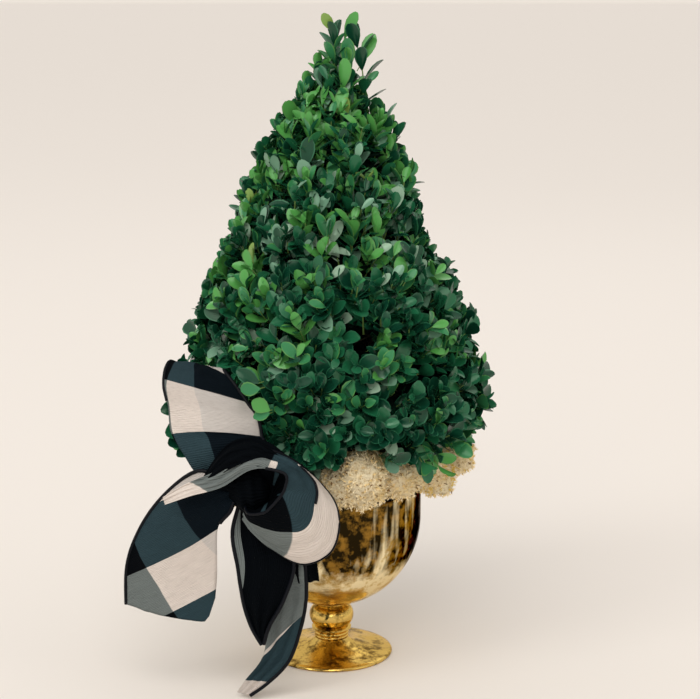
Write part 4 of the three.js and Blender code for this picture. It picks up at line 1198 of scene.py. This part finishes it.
def clearOfRest(points, slack=5.0, room=3.2):
    # inside the outline, off the goblet, the ribbon and the moss
    notchPlace, notchHalf, notchFoot = crown["notch"]
    for p in points:
        if p.z > crown["highest"] or (p.z < crown["mossTop"] and p.z < hemHeight(p)):
            return False
        if slack is not None and crownSpread(p) > crownReach(p) + slack:
            return False
        if p.z > notchFoot and abs(p.x - notchPlace) < notchHalf and slack is not None:
            return False
        if p.x < 20 and p.y < crown["front"] and p.z < crown["bowTop"]:
            if ribbonTree.find(p)[2] < room or (p - knotMiddle).length < crown["knotRoom"]:
                return False
        if p.z < crown["mossTop"]:
            for middle, size in clumps:
                if (p - middle).length < size - 1:
                    return False
    return True


def newLeaves():
    return {key: [] for key in ("root", "way", "up", "length", "width", "cup", "bend", "kind", "margin")}


def addLeaf(leaves, roll, root, way, face, length, kind, slack=5.0, room=3.2):
    way = way.normalized()
    across = way.cross(face)
    if across.length < 1e-3:
        across = way.orthogonal()
    up = across.normalized().cross(way).normalized()
    if not clearOfRest((root + way * length * 0.55, root + way * length), slack, room):
        return False
    kind = leafTone(roll, kind, up, root)
    leaves["root"].append(root)
    leaves["way"].append(way)
    leaves["up"].append(up)
    leaves["length"].append(length)
    leaves["width"].append(length * between(crown["leafRatio"], root.z) * roll.uniform(0.9, 1.1))
    leaves["cup"].append(roll.gauss(0.19, 0.08))
    leaves["bend"].append(roll.gauss(-0.08, 0.13))
    leaves["kind"].append(kindIndex[kind])
    leaves["margin"].append(kindIndex[marginOf[kind]])
    return True


def leafTone(roll, kind, up, root):
    # leaves of one spray differ a little; a few whose face turns to the light are painted pale as their
    # sheen, more of them high up
    high = root.z > crown["upperFrom"]
    light = Vector((-0.4, -0.75, 0.5)) if high else Vector((-0.45, -0.5, 0.74))
    if kind in ("Deep", "Mid") and up.dot(light) > (0.64 if high else 0.8):
        chance = roll.random() * (0.28 if high else 1)
        if chance < 0.16:
            return "PaintedGlare" if chance < 0.045 else "PaintedSheen"
    near = {"Deep": ("Deep", "Mid"), "Mid": ("Deep", "Fresh"), "Fresh": ("Mid", "Bright")}
    return roll.choice(near[kind]) if kind in near and roll.random() < 0.35 else kind


class TwigNet:
    # three-sided tapering twigs, gathered into one mesh
    def __init__(self):
        self.places, self.faces, self.kinds = [], [], []

    def add(self, points, start, end, old=False):
        base = len(self.places)
        for k, point in enumerate(points):
            walk = points[min(len(points) - 1, k + 1)] - points[max(0, k - 1)]
            turn = walk.to_track_quat("Z", "X")
            radius = start + (end - start) * k / (len(points) - 1)
            for side in range(3):
                a = 2 * math.pi * side / 3
                self.places.append(point + turn @ Vector((math.cos(a), math.sin(a), 0)) * radius)
        made = [(base + 2, base + 1, base)]
        for k in range(len(points) - 1):
            for side in range(3):
                a, b = base + k * 3 + side, base + k * 3 + (side + 1) % 3
                made.append((a, b, b + 3, a + 3))
        last = base + (len(points) - 1) * 3
        made.append((last, last + 1, last + 2))
        self.faces += made
        self.kinds += [1 if old else 0] * len(made)


def sprayKind(roll, height):
    # one plain colour to a spray, with brighter ones scattered; brighter sprays come more often higher up and
    # darker ones at the skirt, as painted light from above
    lightFromAbove = between([(170, -0.26), (230, -0.15), (280, 0.0), (330, 0.12), (390, 0.3)], height)
    chance = roll.random() + lightFromAbove
    return "Deep" if chance < 0.40 else "Mid" if chance < 0.74 else "Fresh" if chance < 0.93 else "Bright"


def pairKind(roll, kind, pair):
    # the tip pair may be newer than the rest, pairs further down are older and darker, and the lowest are
    # painted near black as shade
    if pair == 0:
        newer = {"Deep": "Mid", "Mid": "Fresh", "Fresh": "Bright", "Bright": "Young"}[kind]
        return newer if roll.random() < (0.12 if newer == "Young" else 0.28) else kind
    if pair >= 4:
        return "InnerShade" if pair > 4 else "Deep"
    return kind if pair < 3 or kind == "Deep" else "Mid"


def growSpray(roll, leaves, twigs, start, way, length, kind, slack):
    # a shoot that curves up to the light, with crossed pairs of leaves from its tip down
    points = [start]
    for step in range(4):
        points.append(points[-1] + way * length / 4)
        drift = Vector((roll.gauss(0, 0.06), roll.gauss(0, 0.06), roll.uniform(0.02, 0.14)))
        way = (way + drift).normalized()
    twigs.add(points, 0.85, 0.45)
    turn = roll.uniform(0, math.pi)
    pairs = max(2, int(length / crown["pairGap"]) + 1)
    leafLength = between(crown["leafLength"], start.z)
    for pair in range(pairs):
        share = (1 - pair / pairs * 0.9) * 4
        k = min(int(share), 3)
        knee = points[k].lerp(points[k + 1], share - k)
        line = (points[k + 1] - points[k]).normalized()
        side = line.orthogonal().normalized()
        spread = math.radians(roll.uniform(20, 36) + min(pair, 4) * 8)
        size = leafLength * roll.uniform(0.86, 1.14) * (0.72 if pair == 0 else 1)
        own = pairKind(roll, kind, pair)
        for half in (0, math.pi):
            spin = turn + pair * math.pi / 2 + half + roll.gauss(0, 0.3)
            away = Matrix.Rotation(spin, 3, line) @ side
            for fold in (0, -0.3, 0.25, -0.55):
                leafWay = line * math.cos(spread + fold) + away * math.sin(spread + fold)
                if addLeaf(leaves, roll, knee, leafWay, line, size * (1 - abs(fold) * 0.3), own, slack):
                    break


shellHeights = np.linspace(crown["foot"] - 2, crown["top"] + 2, 400)
shellArea = np.cumsum([between(crown["outline"], height) + 8 for height in shellHeights])


def heightAt(share):
    # heights dealt out by how much of the crown's surface lies below them
    return float(np.interp(share * shellArea[-1], shellArea, shellHeights))


def tierAt(height, early=0):
    # a tier also takes what starts a little below its foot
    return [name for name, low, high in crown["tiers"] if low - early <= height < high][-1]


def growBoughs(twigs):
    # old wood from the trunk towards the shell, and the joints that twigs grow from
    joints = []
    for i in range(crown["boughs"]):
        height = heightAt((i + 0.5) / crown["boughs"])
        turn = i * goldenAngle
        rise = math.radians(between(crown["rise"], height)) * 0.8 + 0.2
        reach = max(between(crown["outline"], height) - crown["shell"] - 8, 6)
        foot = trunkMiddle(min(440, max(150, height - reach * math.tan(max(rise, 0.1)))))
        tip = Vector((reach * math.cos(turn), reach * math.sin(turn), height))
        middle = foot.lerp(tip, 0.5) + Vector((0, 0, -3))
        start = 0.22 * trunkRadius(foot.z) + 0.6
        twigs.add([foot, middle, tip], start, 0.9, old=True)
        joints += [foot.lerp(middle, 0.5), middle, middle.lerp(tip, 0.5), tip]
    return pointTree(joints)


def growShell(roll, tierLeaves, twigs, boughTree):
    # leafy sprays all round, dealt by the golden angle from the foot to the tip
    for i in range(crown["sprays"]):
        height = heightAt((i + 0.5) / crown["sprays"])
        turn = i * goldenAngle + roll.gauss(0, 0.05)
        rise = math.radians(between(crown["rise"], height)) + roll.gauss(0, 0.2)
        swing = turn + roll.gauss(0, 0.35)
        slack = max(-8, min(7, roll.gauss(-1, 4)))
        deep = crown["shell"] * roll.uniform(0.6, 1.0)
        ring = max(between(crown["outline"], height) - deep, 3)
        root = Vector((1 + ring * math.cos(turn), ring * math.sin(turn), height))
        way = Vector((math.cos(swing) * math.cos(rise), math.sin(swing) * math.cos(rise), math.sin(rise)))
        length = 12.0
        while length < 46:
            tip = root + way * (length + 10)
            if crownSpread(tip) > crownReach(tip) + slack - 1:
                break
            length += 1.5
        if not clearOfRest([root + way * length * share for share in (0.5, 1.0)], slack, 2.0):
            length *= 0.6
            if not clearOfRest([root + way * length], slack, 2.0):
                continue
        leaves = tierLeaves[tierAt(height, 3)]
        growSpray(roll, leaves, twigs, root, way, length, sprayKind(roll, height), slack)
        joint = boughTree.find(root)[0]
        twigs.add([joint.copy(), joint.lerp(root, 0.5) + Vector((0, 0, -1.5)), root], 1.0, 0.75, old=True)
        # old leaves further in, painted near black as the shade inside the crown
        for extra in range(3):
            spot = joint.lerp(root, roll.uniform(0.2, 1.0))
            if math.hypot(spot.x, spot.y) > 14:
                lean = Vector((roll.gauss(0, 1), roll.gauss(0, 1), roll.gauss(0, 1)))
                size = 19 * roll.uniform(0.9, 1.2)
                addLeaf(leaves, roll, spot, way + lean * 0.9, Vector((0, 0, 1)), size, "InnerShade", 0)


def growHeart(roll, tierLeaves, twigs, boughTree):
    # old wood's last leaves, close round the trunk, painted near black as the shade inside the crown
    for i in range(crown["heartLeaves"]):
        height = crown["foot"] + 14 + (crown["top"] - crown["foot"] - 40) * (i + 0.5) / crown["heartLeaves"]
        reach = between(crown["outline"], height) * roll.uniform(0.2, 0.62)
        turn = i * goldenAngle
        spot = trunkMiddle(height) + Vector((reach * math.cos(turn), reach * math.sin(turn), 0))
        lean = Vector((roll.gauss(0, 1), roll.gauss(0, 1), roll.gauss(0, 1)))
        size = 26 * roll.uniform(0.9, 1.2)
        addLeaf(tierLeaves[tierAt(height)], roll, spot, lean, Vector((0, 0, 1)), size, "InnerShade", 0)
        joint = boughTree.find(spot)[0]
        twigs.add([joint.copy(), joint.lerp(spot, 0.5), spot], 0.8, 0.5, old=True)


def growCrown():
    roll = random.Random(crown["seed"])
    tierLeaves = {name: newLeaves() for name, low, high in crown["tiers"]}
    twigs = TwigNet()
    boughTree = growBoughs(twigs)
    growShell(roll, tierLeaves, twigs, boughTree)
    growHeart(roll, tierLeaves, twigs, boughTree)
    return tierLeaves, twigs


# shoots that break the clipped outline: tier, colour, leaf spacing, knees in millimetres
looseShoots = [
    ("leader", "Mid", 6.4, [(4, 1, 440), (4, 0, 456), (3.5, 0, 470), (3, 0, 483), (3, 0, 494)]),
    ("leader", "Deep", 8.5, [(7, 0, 428), (19, -2, 441), (25.5, -1, 452), (26, -1, 465),
                             (24, -1, 481), (21, -1, 493)]),
    ("leader", "Mid", 7.0, [(5, 3, 438), (0, 5, 450), (-4, 5, 460)]),
    ("leader", "Fresh", 7.0, [(6, -4, 436), (9, -11, 450), (10, -14, 462)]),
    ("spire", "Fresh", 7.5, [(-12, -10, 404), (-22, -14, 420), (-27, -15, 434)]),
    ("spire", "Mid", 7.5, [(-20, 2, 398), (-32, 0, 413), (-36, 0, 423)]),
    ("spire", "Deep", 7.0, [(26, -4, 398), (36, -6, 416), (40, -6, 431)]),
    ("spire", "Deep", 7.0, [(30, 2, 392), (42, 0, 406), (47, 0, 418)]),
    ("upper", "Mid", 7.5, [(-34, -6, 358), (-50, -8, 369), (-57, -8, 378)]),
    ("skirt", "Deep", 7.5, [(-92, -14, 200), (-106, -22, 206), (-113, -26, 210)]),
    ("skirt", "Deep", 7.5, [(-88, -18, 186), (-102, -26, 184), (-109, -30, 184)]),
    ("skirt", "Mid", 7.0, [(56, -70, 196), (66, -84, 190), (70, -89, 185)]),
    ("skirt", "Bright", 7.0, [(66, -58, 190), (78, -71, 184), (83, -76, 179)]),
    ("skirt", "Fresh", 7.0, [(74, -54, 200), (88, -66, 197), (94, -72, 195)]),
    ("skirt", "Mid", 7.5, [(94, -14, 208), (106, -20, 210), (112, -22, 212)]),
    ("skirt", "Fresh", 7.5, [(94, -20, 216), (106, -25, 224), (111, -27, 230)]),
]

tipLeaves = [  # single leaves at the very top and over the bow's edge: foot, tip and colour
    ((-44, -119, 232), (-57, -126, 241), "Bright"),
    ((-44, -119, 230), (-55, -127, 229), "Fresh"),
    ((-52, -115, 252), (-66, -121, 262), "Mid"),
    ((-51, -116, 248), (-66, -124, 248), "Mid"),
    ((-112, -62, 236), (-128, -68, 238), "Deep"),
    ((-112, -62, 222), (-129, -70, 221), "Deep"),
    ((-106, -62, 206), (-125, -76, 204), "Mid"),
    ((-106, -60, 198), (-123, -76, 196), "Deep"),
    ((-102, -60, 191), (-116, -74, 188), "Deep"),
    ((11, -1, 500), (21, -2, 520), "Bright"),
    ((3, 0, 505), (-6, -1, 519), "Young"),
    ((25, -2, 482), (32, -3, 504), "Bright"),
    ((27, -2, 465), (37, -3, 475), "Fresh"),
]


def growLoose(tierLeaves, twigs):
    roll = random.Random(crown["seed"] + 3)
    for tier, kind, gap, knees in looseShoots:
        points = [Vector(knee) for knee in knees]
        twigs.add(points, 1.1, 0.5)
        lengths = [(b - a).length for a, b in zip(points, points[1:])]
        total = sum(lengths)
        turn = roll.uniform(0, math.pi)
        pairs = int(total / gap)
        for pair in range(pairs + 1):
            walk = total * pair / pairs
            k = 0
            while k < len(lengths) - 1 and walk > lengths[k]:
                walk -= lengths[k]
                k += 1
            knee = points[k].lerp(points[k + 1], min(1, walk / lengths[k]))
            line = (points[k + 1] - points[k]).normalized()
            side = line.orthogonal().normalized()
            last = pair == pairs
            spread = math.radians(roll.uniform(14, 26) if last else roll.uniform(26, 44))
            own = pairKind(roll, kind, 0) if last else kind
            for half in (0, math.pi):
                away = Matrix.Rotation(turn + pair * math.pi / 2 + half + roll.gauss(0, 0.15), 3, line) @ side
                leafWay = line * math.cos(spread) + away * math.sin(spread)
                size = between(crown["leafLength"], knee.z) * roll.uniform(0.85, 1.1)
                for shrink in (1, 0.85, 0.7):
                    if addLeaf(tierLeaves[tier], roll, knee, leafWay, line, size * shrink, own, None):
                        break
    for foot, tip, kind in tipLeaves:
        foot, tip = Vector(foot), Vector(tip)
        onLeader = foot.z > 452
        stem = Vector((foot.x * 0.75 + 2, foot.y, foot.z - 7)) if onLeader else foot + Vector((3, 9, -1))
        twigs.add([stem, foot], 0.5, 0.4)
        leaves = tierLeaves["leader" if onLeader else "lower"]
        reach = tip - foot
        addLeaf(leaves, roll, foot, reach, Vector((-0.2, -1, 0.4)), reach.length, kind, None, 1.0)


tierLeaves, twigNet = growCrown()
tierLeaves["leader"] = newLeaves()
growLoose(tierLeaves, twigNet)
for tier, leaves in tierLeaves.items():
    places, faces, kinds = leafShapes(leaves)
    piece = meshPiece("leaves_" + tier, places * mm, faces, leafMaterials, kinds)
    standFor(piece, "foliage", *nodesNamed("crown_" + tier))
    print("leaves", tier, len(leaves["root"]))
twigPlaces = [p * mm for p in twigNet.places]
twigPiece = meshPiece("twigs", twigPlaces, twigNet.faces, twigMaterials, twigNet.kinds, smooth=False)
standFor(twigPiece, "foliage")
print("crown grown")
